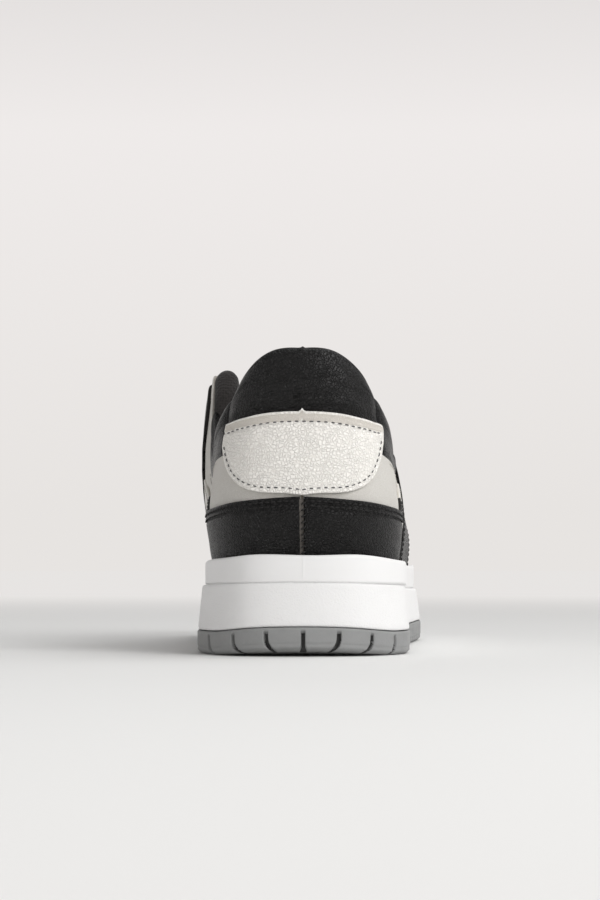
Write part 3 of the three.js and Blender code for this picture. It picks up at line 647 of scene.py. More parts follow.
rings = []
zs = [8.5, 8.44, 8.2, 7.9, 7.6, 7.2, 6.6, 6.0, 5.2, 4.4, 3.7, 3.2, 2.9, 2.6, 2.2, 1.7, 1.2, 0.8, 0.45, 0.2, 0.05, 0.0]
base_in = {8.5: 0.55, 8.44: 0.3, 8.2: 0.12, 0.8: 0.45, 0.45: 0.8, 0.2: 1.25, 0.05: 1.8, 0.0: 2.4}
ramp = np.clip((TR / 3.0) ** 2, 0, 1)
for z in zs:
    ins = np.full(len(TR), base_in.get(z, 0.0))
    if z <= 2.6:
        ins = ins + 0.18
    ins = ins + 0.12 * sm_groove(z - 2.75, 0.12, 0.3)
    ins = ins + 2.3 * sipe_depth(XL, z, TR) + side_depth(TR, S_OUT, z)
    p = outline(TR, ins)
    rings.append(np.concatenate([p, (z + ground_lift(p[:, 1]))[:, None]], 1))


def tread(x, y, edge):
    u = (x + 3.0) / 15.0
    tri = np.abs((u % 2.0) - 1.0)
    ph = ((y + tri * 9.0) / 7.2) % 1.0
    d = sm_groove((ph - 0.5) * 7.2, 1.15, 0.9)
    r = np.hypot(x - 4, y - 204)
    circ = sm_groove(((r / 6.4) % 1.0 - 0.5) * 6.4, 0.95, 0.8)
    d = np.where(r < 26, circ, d)
    d = np.where(np.abs(r - 27.5) < 1.8, 0.0, d)
    arch = sm_groove(y - 112, 15.0, 2.0)
    dots = sm_groove(np.hypot(((x + 3.5) % 7.0) - 3.5, (y % 7.0) - 3.5), 1.9, 0.8)
    d = d * (1 - arch) + 0.55 * dots * arch
    return 1.5 * d * smooth((edge - 4.6) / 0.8)


def cap_rings(ring0, z_fn, count, stop=1.0, power=1.0):
    sp = spine(ring0)
    out = []
    L = np.linalg.norm(sp - ring0[:, :2], axis=1)
    for k in range(1, count + 1):
        q = (k / count) ** power * stop
        xy = ring0[:, :2] * (1 - q) + sp * q
        z = z_fn(xy[:, 0], xy[:, 1], q * L)
        out.append(np.concatenate([xy, z[:, None]], 1))
    return out


bottom = cap_rings(rings[-1], lambda x, y, e: ground_lift(y) + tread(x, y, e + 2.4) * 1.0, 56)
top = cap_rings(rings[0], lambda x, y, e: 8.5 + ground_lift(y), 4)
V = np.concatenate(top[::-1] + rings + bottom)
nr = len(top) + len(rings) + len(bottom)
# faces deep in the slots take the dark grey: painted shade in the recesses
slot_shade_faces = np.zeros((nr - 1, len(TR)))
for i, z in enumerate(zs[:-1]):
    slot_shade_faces[len(top) + i] = sipe_depth(XL, z, TR) > 0.75
obj_from("outsole_rubber", V, ring_faces(nr, len(TR), True), [SOLE, SOLE_SLOT_SHADE], slot_shade_faces.ravel(), "shoe", "outsole_rubber", ["outsole"])

# cupsole
LED, RIM = ring(Z_LEDGE, TR) + 1.1 * np.exp(-(TR / 2.6) ** 4), ring(Z_RIM, TR) + 0.9 * smooth(np.abs(TR) / 1.0) * (1 - smooth((np.abs(TR) - 1.6) / 1.5))
wave = 0.22 * np.sin(S_OUT / 17.0 + 1.0) + 0.14 * np.sin(S_OUT / 6.1)
LO = 8.85
prof = [(1.1, "lo", 0.0), (0.62, "lo", 0.1), (0.36, "lo", 0.4), (0.3, "lo", 0.9)]
prof += [(0.3 + 1.5 * q, "mix", q) for q in np.linspace(0.12, 1, 12)]
prof += [(1.9, "led", -0.75), (2.05, "led", -0.45), (2.3, "led", -0.26), (2.7, "led", -0.2), (3.3, "led", -0.16), (3.5, "led", 0.0), (3.3, "led", 0.14),
    (2.98, "led", 0.3), (2.92, "led", 0.9)]
prof += [(2.95 + 0.06 * q, "mix2", q) for q in np.linspace(0.15, 1, 7)]
prof += [(3.08, "rim", -0.75), (3.24, "rim", -0.36), (3.52, "rim", -0.1), (3.9, "rim", 0.0), (4.25, "rim", -0.14), (4.5, "rim", -0.5), (4.62, "rim", -1.2), (4.7, "rim", -3.0), (5.0, "floor", 1.5),
    (5.25, "floor", 0.4), (5.8, "floor", 0.0)]
rings, grained = [], []
for ins, kind, v in prof:
    insv = np.full(len(TR), float(ins))
    if kind in ("mix2", "rim") or (kind == "led" and v > -0.2):
        insv = insv - 1.6 * np.exp(-(np.clip(np.abs(TR - 2.1) - 0.5, 0, None) / 0.7) ** 2)
    p = outline(TR, insv)
    lift = ground_lift(p[:, 1])
    z = {"lo": LO + lift + v, "mix": (LO + 0.9 + lift) * (1 - v) + (LED - 1.15) * v, "led": LED + v, "mix2": (LED + 0.9) * (1 - v) + (RIM - 1.25) * v,
         "rim": RIM + v, "floor": 11.5 + lift + v}[kind]
    if kind in ("rim", "mix2"):
        k = v if kind == "mix2" else 1.0
        z = z + wave * k
        insv = insv + 0.16 * np.sin(S_OUT / 9.0) * k * 0.7
        if kind == "rim" or v > 0.1:       # mould parting line at the back
            insv = insv - 0.10 * np.exp(-((XL - 0.4) / 0.28) ** 2) * (np.abs(TR) < 1)
        p = outline(TR, insv)
    rings.append(np.concatenate([p, z[:, None]], 1))
    grained.append(kind in ("lo", "mix") or (kind == "led" and v < -0.3))
inner = cap_rings(rings[-1], lambda x, y, e: 11.5 + ground_lift(y), 5)
under = cap_rings(rings[0], lambda x, y, e: LO + ground_lift(y), 5)
V = np.concatenate(under[::-1] + rings + inner)
nr = len(under) + len(rings) + len(inner)
fmz = np.ones(nr - 1)
for i in range(len(rings) - 1):
    fmz[len(under) + i] = 0 if (grained[i] and grained[i + 1]) else 1
fmz = 1 - fmz
obj_from("cupsole_rubber", V, ring_faces(nr, len(TR)), [CUP_S, CUP_G], np.repeat(fmz, len(TR)), "shoe", "cupsole_rubber", ["cupsole"])


def pad(name, ins, z0, z1, mat, slot, nodes, n=360, r=0.5):
    """a flat cut layer inside the shoe, following the outline"""
    tt = arc_ring(n)
    rg = []
    for di, side, dz in ((r, 0, 0), (0.15, 0, r * 0.35), (0, 0, r), (0, 1, -r), (0.15, 1, -r * 0.35), (r, 1, 0)):
        p = outline(tt, np.full(n, ins + di))
        z = (z1(tt, p) if side else z0(tt, p)) + dz
        rg.append(np.concatenate([p, z[:, None]], 1))
    mid0, mid1 = rg[0][:, 2], rg[-1][:, 2]
    sp0 = spine(rg[0]); sp1 = spine(rg[-1])
    def cap(rg0, sp, k):
        out = []
        for q in (0.25, 0.5, 0.75, 1.0):
            xy = rg0[:, :2] * (1 - q) + sp * q
            yy = np.argsort(rg0[:, 1])
            zc = np.interp(xy[:, 1], rg0[yy, 1], rg0[yy, 2])
            out.append(np.concatenate([xy, (rg0[:, 2] * (1 - q) + zc * q)[:, None]], 1))
        return out
    rg = cap(rg[0], sp0, 0)[::-1] + rg + cap(rg[-1], sp1, 1)
    return obj_from(name, np.concatenate(rg), ring_faces(len(rg), n), [mat], None, "shoe", slot, nodes)


zst = lambda tt, p: ring(Z_STROBEL, tt)
pad("midsole_foam", 5.9, lambda tt, p: 11.85 + ground_lift(p[:, 1]), lambda tt, p: zst(tt, p) - 2.4, FOAM, "foam", ["midsole_insert"])
pad("strobel_cloth", 9.1, lambda tt, p: zst(tt, p) - 1.7, lambda tt, p: zst(tt, p) - 0.4, BOARD, "board", ["strobel_board"])
pad("sockliner_pad", 12.1, lambda tt, p: zst(tt, p) + 0.4, lambda tt, p: zst(tt, p) + 4.7, LINING, "textile_lining", ["sockliner"], r=1.2)


# ------------------------------------------------------------------ upper: base layer and overlays
mirror = lambda f: (lambda t: f(-np.asarray(t, float)))
both = lambda f: (lambda t: f(np.abs(t)))
quarterTop = pchip([[0, 2.78], [1.6, 2.8], [2.6, 2.95], [4.0, 3.0], [4.3, 3.3], [4.6, 3.9], [4.78, 4.0], [10, 4]])
quarterTopL = pchip([[0, 2.78], [1.6, 2.8], [2.6, 2.95], [3.1, 3.0], [3.5, 3.25], [3.95, 3.72], [4.3, 3.95], [4.5, 4.0], [10, 4]])
qtop = lambda t: np.where(np.asarray(t, float) > 0, quarterTopL(np.abs(t)), quarterTop(np.abs(t)))
heelTop = pchip([[0, 2.08], [1.0, 2.06], [1.8, 2.0], [2.25, 1.98], [2.6, 2.15], [2.85, 2.5], [3.0, 2.42], [3.4, 1.42], [3.8, 1.15], [4.15, 0.85]])
tabLow = pchip([[0, 2.1], [0.3, 2.13], [0.6, 2.15], [0.9, 2.22], [1.2, 2.37], [1.4, 2.57], [1.6, 2.88], [1.7, 3.1], [1.74, 3.2]])
tabTop0 = pchip([[0, 3.115], [0.9, 3.12], [1.4, 3.19], [1.7, 3.285], [1.74, 3.29]])
tabTop = lambda t: tabTop0(t) + 0.045 * np.exp(-(np.asarray(t) / 0.03) ** 2)
stayLow = pchip([[4.72, 3.35], [5.0, 2.6], [5.45, 0.95], [5.7, 0.02], [6.45, 0.02], [6.62, 0.8], [6.95, 1.9], [7.4, 2.62], [8.0, 2.95], [8.8, 3.08], [10.0, 3.12]])
stayTop = pchip([[4.72, 3.8], [5.0, 3.86], [5.7, 3.94], [10, 3.96]])
toeTop = pchip([[6.95, 0.9], [7.6, 1.5], [8.6, 2.0], [10, 2.2]])
FINE = 1.0


def creases(T, W, amp, seed, aniso=3.0):
    """slow random swell of worked leather, longer along the shoe than up it"""
    r = np.random.default_rng(seed)
    out = 0
    for k in range(7):
        ft, fw, a, p = r.uniform(1.5, 6) , r.uniform(2.5, 10), r.uniform(0.3, 1), r.uniform(0, 6.28)
        out = out + a * np.sin(ft * T * 2 + fw * W * 2 * np.sign(r.uniform(-1, 1)) + p)
    return amp * out / 3.0


for side, sg in (("lateral", 1), ("medial", -1)):
    f = (lambda g: g) if sg > 0 else mirror
    rngt = lambda a, b: (a, b) if sg > 0 else (-b, -a)
    patch(f"quarter_{side}_panel", *rngt(0.02, 6.2), 0.02, qtop, GREY, EDGE_G, "grey_leather", [f"quarter_{side}"],
          step=1.5 * FINE, d_out=0.0, extra=lambda T, W, e, P: creases(T, W, 0.10, 11) + 0.8 * smooth((np.abs(T) - 4.25) / 0.3) * smooth((W - 1.5) / 1.0) * (1 - smooth((np.abs(T) - 5.2) / 0.6)))
    # sewn line along the top edge
    tt = np.linspace(1.95, 4.15, 200) * sg
    a, b = offset_curve(tt, qtop(tt), 2.0, -sg)
    stitches(f"quarter_{side}_stitch", a, b, 0.05, THREAD_L, "grey_leather", pitch=2.6, length=1.7, radius=0.2)


def vamp_extra(T, W, e, P):
    d = creases(T, W, 0.12, 5)
    return d


patch("vamp_panel", 6.23, 13.77, 0.02, 4, VAMPW, EDGE_W, "white_leather", ["vamp"], step=1.0, extra=vamp_extra, stitch=(), d_in=-LEATHER)

# heel overlays: two rows of stitching below the top edge, turning up at the tips and on along the rear edge of the side
for side, sg in (("lateral", 1), ("medial", -1)):
    f = (lambda g: g) if sg > 0 else mirror
    r0 = (0.035, 4.15) if sg > 0 else (-4.15, -0.035)

    def ex(T, W, e, P, s=sg):
        near = np.exp(-((np.abs(T) - 0.035) / 0.05) ** 2)
        d = creases(T, W, 0.09, 21 + s) + 0.25 * np.sin(W * 9 + 3 * np.sin(T * 4 + s)) * np.exp(-((np.abs(T) - 0.18) / 0.16) ** 2) * smooth((1.9 - W) / 0.5)
        top = heelTop(np.abs(T))
        dist = (top - W) * 19.0
        for q in (1.5, 3.3):
            d = d - 0.42 * np.exp(-((dist - q) / 0.5) ** 2) * (W > 0.95)
        return d + 0.1 * near
    patch(f"heel_overlay_{side}_panel", *r0, 0.02, f(heelTop), BLACK, EDGE_B, "black_leather", [f"heel_overlay_{side}"],
          d_in=0.12, d_out=OUT1 + 0.05, step=0.8 * FINE, round_r=0.6, extra=ex)
    tt = np.concatenate([np.linspace(0.09, 2.9, 500), np.linspace(2.9, 4.1, 240)]) * sg
    for row, dist in enumerate((1.5, 3.3)):
        a, b = offset_curve(tt, f(heelTop)(tt), dist, -sg)
        keep = (b > 1.0) & (np.abs(a) > 0.08)
        stitches(f"heel_overlay_{side}_row{row}", a[keep], b[keep], OUT1 - 0.05, THREAD_K, "black_leather", pitch=2.3, length=1.7, radius=0.3)

# centre back seam: folded edges meet, with a row of short cross beads
patch("back_seam_strip", -0.052, 0.034, 0.9, 2.05, EDGE_S, EDGE_S, "black_leather", ["back_seam_welt"], d_in=0.2, d_out=OUT1 - 0.05, step=0.35, round_r=0.3,
      extra=lambda T, W, e, P: -0.75 * smooth((T + 0.03) / 0.02) + 0.06 * np.sin(W * 60))


def seam_beads():
    w = np.linspace(0.98, 2.03, 400)
    P = off(np.full(400, 0.02), w, np.full(400, OUT1))
    s = np.concatenate([[0], np.cumsum(np.linalg.norm(np.diff(P, axis=0), axis=1))])
    k = int(s[-1] / 2.15)
    V, F, base = [], [], 0
    for i in range(k):
        wq = np.interp((i + 0.5) * s[-1] / k, s, w)
        c = off(np.array([0.02]), np.array([wq]), np.array([OUT1 - 0.02]))[0]
        for a in range(9):
            u = -1 + a / 4
            for b in range(6):
                g = b / 6 * 2 * math.pi
                r = 0.42 * math.sqrt(max(0.05, 1 - u * u * 0.95))
                V.append([c[0] + u * 0.8 + 0.12 * u, c[1] - r * math.sin(g) - 0.22 * (1 - u * u), c[2] + r * 0.85 * math.cos(g) + 0.35 * u])
        for a in range(8):
            for b in range(6):
                F.append([base + a * 6 + b, base + a * 6 + (b + 1) % 6, base + (a + 1) * 6 + (b + 1) % 6, base + (a + 1) * 6 + b])
        for e0 in (0, 48):
            F.append([base + e0, base + e0 + 1, base + e0 + 2, base + e0 + 3]); F.append([base + e0, base + e0 + 3, base + e0 + 4, base + e0 + 5])
        base += 54
    obj_from("back_seam_beads", V, F, [THREAD_K], None, "shoe", "black_leather")


seam_beads()


# heel tab: half-moon, frayed cut edge, two lines of stitching
def tab_extra(T, W, e, P):
    d = 0.55 * smooth((e - 2.5) / 9.0)
    d = d - 0.30 * np.exp(-((e - 1.8) / 0.55) ** 2)
    top = both(tabTop)(T)
    dist = (top - W) * 23.5
    d = d - 0.34 * np.exp(-((dist - 3.9) / 0.6) ** 2) * (np.abs(T) < 1.62)
    return d + creases(T, W, 0.07, 3)


# the strip above the upper row of stitching takes the darker copy of the leather: painted shade where the edge bends
# inward
patch("heel_tab_panel", -1.60, 1.74, both(tabLow), both(tabTop), WHITE, EDGE_W, "white_leather", ["heel_tab"], d_in=0.15, d_out=OUT1 + 0.35, step=0.75 * FINE,
      round_r=0.55, extra=tab_extra, alt=(lambda T, W, e: ((both(tabTop)(T) - W) * 23.5 < 3.6) & (e > 0.5), TAB_TOP_SHADE))


def tab_stitches():
    tt = np.linspace(-1.6, 1.66, 500)
    top = both(tabTop0)(tt)
    a, b = offset_curve(tt, top, 3.7, -1)
    m = (a < 1.64) & (a > -1.50)
    stitches("heel_tab_stitch_top", a[m], b[m], OUT1 + 0.38, THREAD_G, "white_leather", pitch=2.7, length=1.4, radius=0.21)
    lo = both(tabLow)(tt)
    a, b = offset_curve(tt, lo, 1.85, 1)
    m = (b < both(tabTop0)(a) - 0.17) & (a < 1.68) & (a > -1.54)
    stitches("heel_tab_stitch_low", a[m], b[m], OUT1 + 0.25, THREAD_G, "white_leather", pitch=2.7, length=1.4, radius=0.21)


tab_stitches()

# eyestays with punched eyelet holes, toe overlay, side panels
LACE_T = [5.25, 5.9, 6.55, 7.2, 7.85, 8.5]
HOLES = [(t, 3.62) for t in LACE_T] + [(9.15, 3.62)]


def stay_extra(T, W, e, P, sg=1):
    d = creases(T, W, 0.06, 31) + 0.75 * smooth((W - 1.5) / 1.0) * (1 - smooth((np.abs(T) - 4.85) / 0.6)) - 0.22 * np.exp(-((e - 1.7) / 0.6) ** 2) - 0.22 * np.exp(-((e - 3.6) / 0.6) ** 2)
    for t, w in HOLES:
        c = last(np.array([t * sg]), np.array([w]))[0]
        r = np.linalg.norm(P - c, axis=-1)
        d = d - 1.15 * (1 - smooth((r - 1.7) / 0.6)) + 0.12 * np.exp(-((r - 2.7) / 0.5) ** 2)
    return d


for side, sg in (("lateral", 1), ("medial", -1)):
    f = (lambda g: g) if sg > 0 else mirror
    r0 = (4.72, 9.996) if sg > 0 else (-9.996, -4.72)
    patch(f"eyestay_{side}_panel", *r0, f(stayLow), f(stayTop), BLACK, EDGE_B, "black_leather", [f"eyestay_{side}"], d_in=0.15, d_out=OUT1,
          step=0.85 * FINE, round_r=0.6, extra=lambda T, W, e, P, s=sg: stay_extra(T, W, e, P, s))
    tt = np.linspace(4.8, 9.97, 700) * sg
    for row, dist in enumerate((1.7, 3.6)):
        a, b = offset_curve(tt, f(stayLow)(tt), dist, sg)
        m = b > 0.9
        for part, mm in (("rear", m & (np.abs(a) < 6.0)), ("front", m & (np.abs(a) > 6.3))):
            if mm.sum() > 20:
                stitches(f"eyestay_{side}_{part}{row}", a[mm], b[mm], OUT1 - 0.05, THREAD_K, "black_leather", pitch=2.4, length=1.7, radius=0.22)
    a, b = offset_curve(tt, f(stayTop)(tt), 1.6, -sg)
    stitches(f"eyestay_{side}_top", a, b, OUT1 - 0.05, THREAD_K, "black_leather", pitch=2.4, length=1.7, radius=0.22)
    r1 = (3.45, 4.75) if sg > 0 else (-4.75, -3.45)
    g0, g1 = f(knots([[3.45, 1.5], [4.75, 1.45]])), f(knots([[3.45, 2.45], [4.75, 2.6]]))
    patch(f"side_panel_{side}_panel", *r1, g0, g1, WHITE, EDGE_W, "white_leather", [f"side_panel_{side}"], d_in=0.15, d_out=OUT1, step=0.85 * FINE, round_r=0.6,
          extra=lambda T, W, e, P: 0.25 * smooth((e - 2) / 5) - 0.25 * np.exp(-((e - 1.7) / 0.55) ** 2) + creases(T, W, 0.06, 8))
    tt = np.linspace(3.5, 4.7, 200) * sg
    for nm, g, sd in (("low", g0, sg), ("top", g1, -sg)):
        a, b = offset_curve(tt, g(tt), 1.7, sd)
        stitches(f"side_panel_{side}_{nm}", a, b, OUT1, THREAD_L, "white_leather", pitch=2.5, length=1.7, radius=0.22)

tt_ = lambda t: np.where(t > 10, 20 - t, t)
patch("toe_overlay_panel", 6.95, 13.05, 0.02, lambda t: toeTop(tt_(t)), BLACK, EDGE_B, "black_leather", ["toe_overlay"], d_in=0.12, d_out=OUT1, step=0.95 * FINE, round_r=0.6,
      extra=lambda T, W, e, P: creases(T, W, 0.07, 41) - (0.24 * np.exp(-((e - 1.7) / 0.6) ** 2) + 0.24 * np.exp(-((e - 3.5) / 0.6) ** 2)) * (W > 0.9))
tt = np.linspace(7.0, 13.0, 700)
for row, dist in enumerate((1.7, 3.5)):
    a, b = offset_curve(tt, toeTop(tt_(tt)), dist, -1)
    m = b > 0.95
    stitches(f"toe_overlay_row{row}", a[m], b[m], OUT1 - 0.05, THREAD_K, "black_leather", pitch=2.4, length=1.7, radius=0.22)


# ------------------------------------------------------------------ padded collar: leather outside, rolled over the top, knit inside
def foam_thick(t, w):
    a = np.clip((w - 2.35) / 0.6, 0, 1)
    b = np.minimum(1, (4 - w) / 0.35)
    c = np.clip((4.9 - np.abs(t)) / 1.2, 0, 1)
    return 1.2 + 5.3 * a * (0.35 + 0.65 * np.clip(b, 0, None)) * (0.5 + 0.5 * c)


def lining_out(t, w):
    return np.where(w > 2.3, -1.5 - foam_thick(t, w) - 0.35, -3.05)


def top_frame(t, R):
    """a point R below the mouth edge, measured along the surface, with the directions out and up there"""
    e = 0.02
    l = np.linalg.norm(last(t, np.full_like(t, 4.0)) - last(t, np.full_like(t, 4 - e)), axis=-1) / e
    wc = 4 - R / l
    n, v = frame_at(t, wc)
    v = v - (v * n).sum(-1, keepdims=True) * n
    v /= np.linalg.norm(v, axis=-1, keepdims=True)
    return wc, n, v


def collar_R(t):
    return np.full(np.shape(t), 2.75)


def lining_R(t):
    """the knit lining swells into a rounded lobe at each front corner of the collar"""
    a = np.abs(t)
    lobe = smooth((a - np.where(np.asarray(t) > 0, 4.15, 4.35)) / 0.3)
    end = np.sqrt(np.clip(1 - (np.clip(a - 4.8, 0, None) / 0.2) ** 2, 0.01, 1))
    return (2.75 + 2.25 * lobe) * end


def puff(t, q):
    """how far the padding lifts the leather: full at mid height, more along the sides"""
    A = 1.35 - 0.25 * smooth((np.abs(t) - 1.3) / 0.8)
    s_ = smooth((np.abs(t) - 1.4) / 0.5)
    q = np.clip(q, 0, 1) ** (1 + 0.9 * s_)
    return A * (np.sin(q * math.pi * 0.93 + 0.04) ** (0.75 + 0.4 * s_))


def shoulder(t):
    """the back of the collar stands up squarely: extra height on each side of its middle, with a small point in the middle"""
    x = np.clip(np.abs(t) / 1.76, 0, 1)
    side = np.where(np.asarray(t) > 0, 2.7, 2.3)
    return side * np.sin(math.pi * x ** 1.4) * (x < 1) + 0.55 * (1 - x) + 0.9 * np.exp(-(np.asarray(t) / 0.028) ** 2)


def collar_leather(name, t0, t1, nodes, seed, low=None):
    low = low or (lambda t: qtop(t) - 0.02)
    mid = lambda t: np.full(np.shape(t), 3.6)
    ts = resample_t(t0, t1, mid, 1.0 * FINE)
    R = collar_R(ts)
    wc, n_top, v_top = top_frame(ts, R)
    nw, nr_ = int(34 / FINE), 18
    q = np.concatenate([[0, 0.012, 0.03, 0.055], np.linspace(0.085, 1, nw)])
    lw = np.minimum(low(ts), wc - 0.05)
    W = lw[:, None] + (wc - lw)[:, None] * q[None]
    T = np.repeat(ts[:, None], W.shape[1], 1)
    endd = np.minimum(np.abs(T - t0), np.abs(T - t1)) * 22.0
    tuck = 0.9 * (1 - smooth(q / 0.12))[None] + 0.9 * np.exp(-(endd / 0.9) ** 2)
    P1 = last(T, W)
    dome = "dome" in name
    # above the heel tab's edge only, so that the tab lies flat
    qs = np.clip((W - tabTop0(np.abs(T)) + 0.05) / (wc[:, None] - tabTop0(np.abs(T)) + 0.05), 0, 1) if dome else q[None] ** 0.85
    d = puff(T, qs) * (smooth(qs / 0.25) if dome else 1.0) * (1 - np.exp(-(endd / 4.0) ** 2) * 0.55) - tuck + creases(T, W, 0.16, seed) * np.sin(q * math.pi)[None]
    # shallow horizontal folds in the worked leather
    r = np.random.default_rng(seed)
    for k in range(9):
        tc, w_, ln, am, sl = r.uniform(t0, t1), r.uniform(3.1, 3.75), r.uniform(0.25, 0.6), r.uniform(0.16, 0.42), r.uniform(-0.1, 0.1)
        d = d - am * np.exp(-((W - w_ - sl * (T - tc)) / 0.022) ** 2) * np.exp(-((T - tc) / ln) ** 2)
    n1, _ = frame_at(T, W)
    dome = "dome" in name
    if dome:
        d = d + np.where(T > 0, 1.0, 0.35) * smooth((np.abs(T) - 0.9) / 0.6) * smooth((qs - 0.25) / 0.5) * (1 - np.exp(-(endd / 1.6) ** 2))
    else:
        d = d + 1.3 * smooth((q[None] - 0.35) / 0.5) * smooth((3.1 - np.abs(T)) / 0.9) * (1 - np.exp(-(endd / 2.5) ** 2))
    A = P1 + n1 * d[..., None]
    up = shoulder(ts) if dome else 0 * ts
    A[..., 2] += up[:, None] * smooth(q ** 1.2)[None]
    th = np.linspace(0, math.radians(118), nr_)[1:]
    Pc = last(ts, wc)
    dc = -R
    dend = d[:, -1]
    B = (Pc[:, None] + n_top[:, None] * (dc[:, None] + (R + dend)[:, None] * np.cos(th)[None])[..., None] + v_top[:, None] * (R[:, None] * np.sin(th)[None])[..., None])
    B[..., 2] += up[:, None]
    G = np.concatenate([A, B], 1)
    # inner face, 1.1 mm inside
    du, dv = np.gradient(G, axis=0), np.gradient(G, axis=1)
    nn = np.cross(du, dv)
    nn /= np.linalg.norm(nn, axis=-1, keepdims=True) + 1e-12
    inner_ = G - nn * 1.05
    nu, nv = G.shape[:2]
    fo, fw, fi = slab_faces(nu, nv)
    V = np.concatenate([G.reshape(-1, 3), inner_.reshape(-1, 3)])
    fm_ = np.concatenate([np.zeros(len(fo)), np.ones(len(fw)), np.ones(len(fi))])
    o = obj_from(name, V, np.concatenate([fo, fw, fi]), [BLACK, EDGE_B], fm_, "shoe", "black_leather", nodes)
    return o


collar_leather("collar_back_dome", -1.79, 1.79, ["collar_back_panel"], 51)
collar_leather("collar_side_lateral_pad", 1.765, 4.32, ["collar_side_lateral"], 52)
collar_leather("collar_side_medial_pad", -4.55, -1.765, ["collar_side_medial"], 53)


def collar_lining():
    ts = resample_t(-5.0, 5.0, lambda t: np.full(np.shape(t), 3.6), 1.5 * FINE)
    R = lining_R(ts)
    wc, n_top, v_top = top_frame(ts, collar_R(ts))
    Pc = last(ts, wc)
    start = np.where(ts > 0, 4.12, 4.35)
    ear = smooth((np.abs(ts) - start) / 0.2)
    lift = 2.7 * ear
    lift_b = shoulder(ts)
    th0 = np.radians(100 * (1 - ear) - 25 * ear)
    k = np.linspace(0, 1, 16)
    th = th0[:, None] + (math.pi - th0)[:, None] * k[None]
    rr = R[:, None] - 0.25 * (1 - ear[:, None])
    cen = -(2.75 + 2.25 * smooth((np.abs(ts) - start - 0.02) / 0.3)) - 0.2 * ear
    B = Pc[:, None] + n_top[:, None] * (cen[:, None] + rr * np.cos(th))[..., None] + v_top[:, None] * (rr * np.sin(th) + lift[:, None])[..., None]
    B[..., 2] += lift_b[:, None]
    q = np.linspace(0, 1, int(60 / FINE))[1:]
    W = wc[:, None] + (0.02 - wc)[:, None] * q[None]
    T = np.repeat(ts[:, None], W.shape[1], 1)
    d = lining_out(T, W) - 0.9
    d = np.minimum(d, -3.9)
    d = d + (cen[:, None] - R[:, None] - d) * np.exp(-(q[None] / (0.045 + 0.02 * ear[:, None])) ** 2)
    d = d + creases(T, W, 0.25, 61)
    n1, _ = frame_at(T, W)
    C = last(T, W) + n1 * d[..., None] + v_top[:, None] * (lift[:, None] * np.exp(-(q[None] / 0.06) ** 2))[..., None]
    C[..., 2] += lift_b[:, None] * np.exp(-(q[None] / 0.2) ** 2)
    G = np.concatenate([B, C], 1)
    du, dv = np.gradient(G, axis=0), np.gradient(G, axis=1)
    nn = np.cross(du, dv)
    nn /= np.linalg.norm(nn, axis=-1, keepdims=True) + 1e-12
    inner_ = G - nn * 0.8
    nu, nv = G.shape[:2]
    fo, fw, fi = slab_faces(nu, nv)
    V = np.concatenate([G.reshape(-1, 3), inner_.reshape(-1, 3)])
    o = obj_from("collar_lining_pad", V, np.concatenate([fo, fw, fi]), [LINING], None, "shoe", "textile_lining", ["collar_lining", "collar_foam"])


collar_lining()


def inner_skin(name, t0, t1, w0, w1, d_out, d_in, mat, slot, nodes, step=2.5):
    ts = resample_t(t0, t1, lambda t: np.full(np.shape(t), (w0 + w1) / 2), step * FINE)
    q = np.linspace(w0, w1, int(26 / FINE))
    T, W = np.meshgrid(ts, q, indexing="ij")
    e = edge_distance(last(T, W))
    x = np.clip(e / 0.4, 0, 1)
    rd = 0.3 * (1 - np.sqrt(1 - (1 - x) ** 2))
    n1, _ = frame_at(T, W)
    P = last(T, W)
    Ao, Ai = P + n1 * (d_out - rd)[..., None], P + n1 * (d_in + rd)[..., None]
    fo, fw, fi = slab_faces(*T.shape)
    return obj_from(name, np.concatenate([Ao.reshape(-1, 3), Ai.reshape(-1, 3)]), np.concatenate([fo, fw, fi]), [mat], None, "shoe", slot, nodes)


inner_skin("heel_counter_board", -3, 3, 0.02, 2.47, -1.5, -2.7, BOARD, "board", ["heel_counter"])
inner_skin("toe_puff_board", 8, 12, 0.02, 2.5, -1.5, -2.4, BOARD, "board", ["toe_puff"])
inner_skin("vamp_lining_cloth", 5.02, 14.98, 0.02, 4, -2.6, -3.55, LINING, "textile_lining", ["vamp_lining"], 1.8)


# the holes' dark colour is partly the dark lining seen through them and partly painted shade inside them
HOLE = moulded("punched_hole_lining_and_shade", srgb(30, 29, 29), srgb(20, 19, 19), 0.95, 2600, 0.0001, 0.1)
METAL = moulded("black_eyelet", srgb(22, 22, 22), srgb(34, 33, 33), 0.38, 2600, 0.00003, 0.5)


def perforations():
    """punched breathing holes over the toe box: small cups with a rolled lip, coloured dark for the dark lining behind
    a hole and painted shade inside it
    """
    V, F = [], []
    for i, w in enumerate((2.45, 2.58, 2.71, 2.84, 2.97)):
        half = 4.5 - 0.5 * i
        for j in np.arange(-half, half + 0.1, 1.0):
            t = 10 + j * (0.235 + 0.012 * i)
            p0 = last(np.array([t]), np.array([w]))[0]
            n, v = frame_at(np.array([t]), np.array([w]))
            n, v = n[0], v[0]
            v = v - (v @ n) * n; v /= np.linalg.norm(v); b = np.cross(n, v)
            base = len(V)
            for r, h in ((0.95, -0.15), (0.8, 0.14), (0.62, 0.12), (0.55, 0.03)):
                for a in range(14):
                    g = a / 14 * 2 * math.pi
                    V.append(p0 + n * (h + 0.12) + (v * math.sin(g) + b * math.cos(g)) * r)
            V.append(p0 + n * 0.15)
            for r in range(3):
                for a in range(14):
                    F.append([base + r * 14 + a, base + r * 14 + (a + 1) % 14, base + (r + 1) * 14 + (a + 1) % 14, base + (r + 1) * 14 + a])
            for a in range(0, 14, 2):
                F.append([base + 42 + a, base + 42 + (a + 1) % 14, base + 42 + (a + 2) % 14, base + 56])
    if V:
        F = np.array(F)
        f0 = F[0]
        obj_from("vamp_perforations", np.array(V), F, [HOLE], None, "shoe", "white_leather")


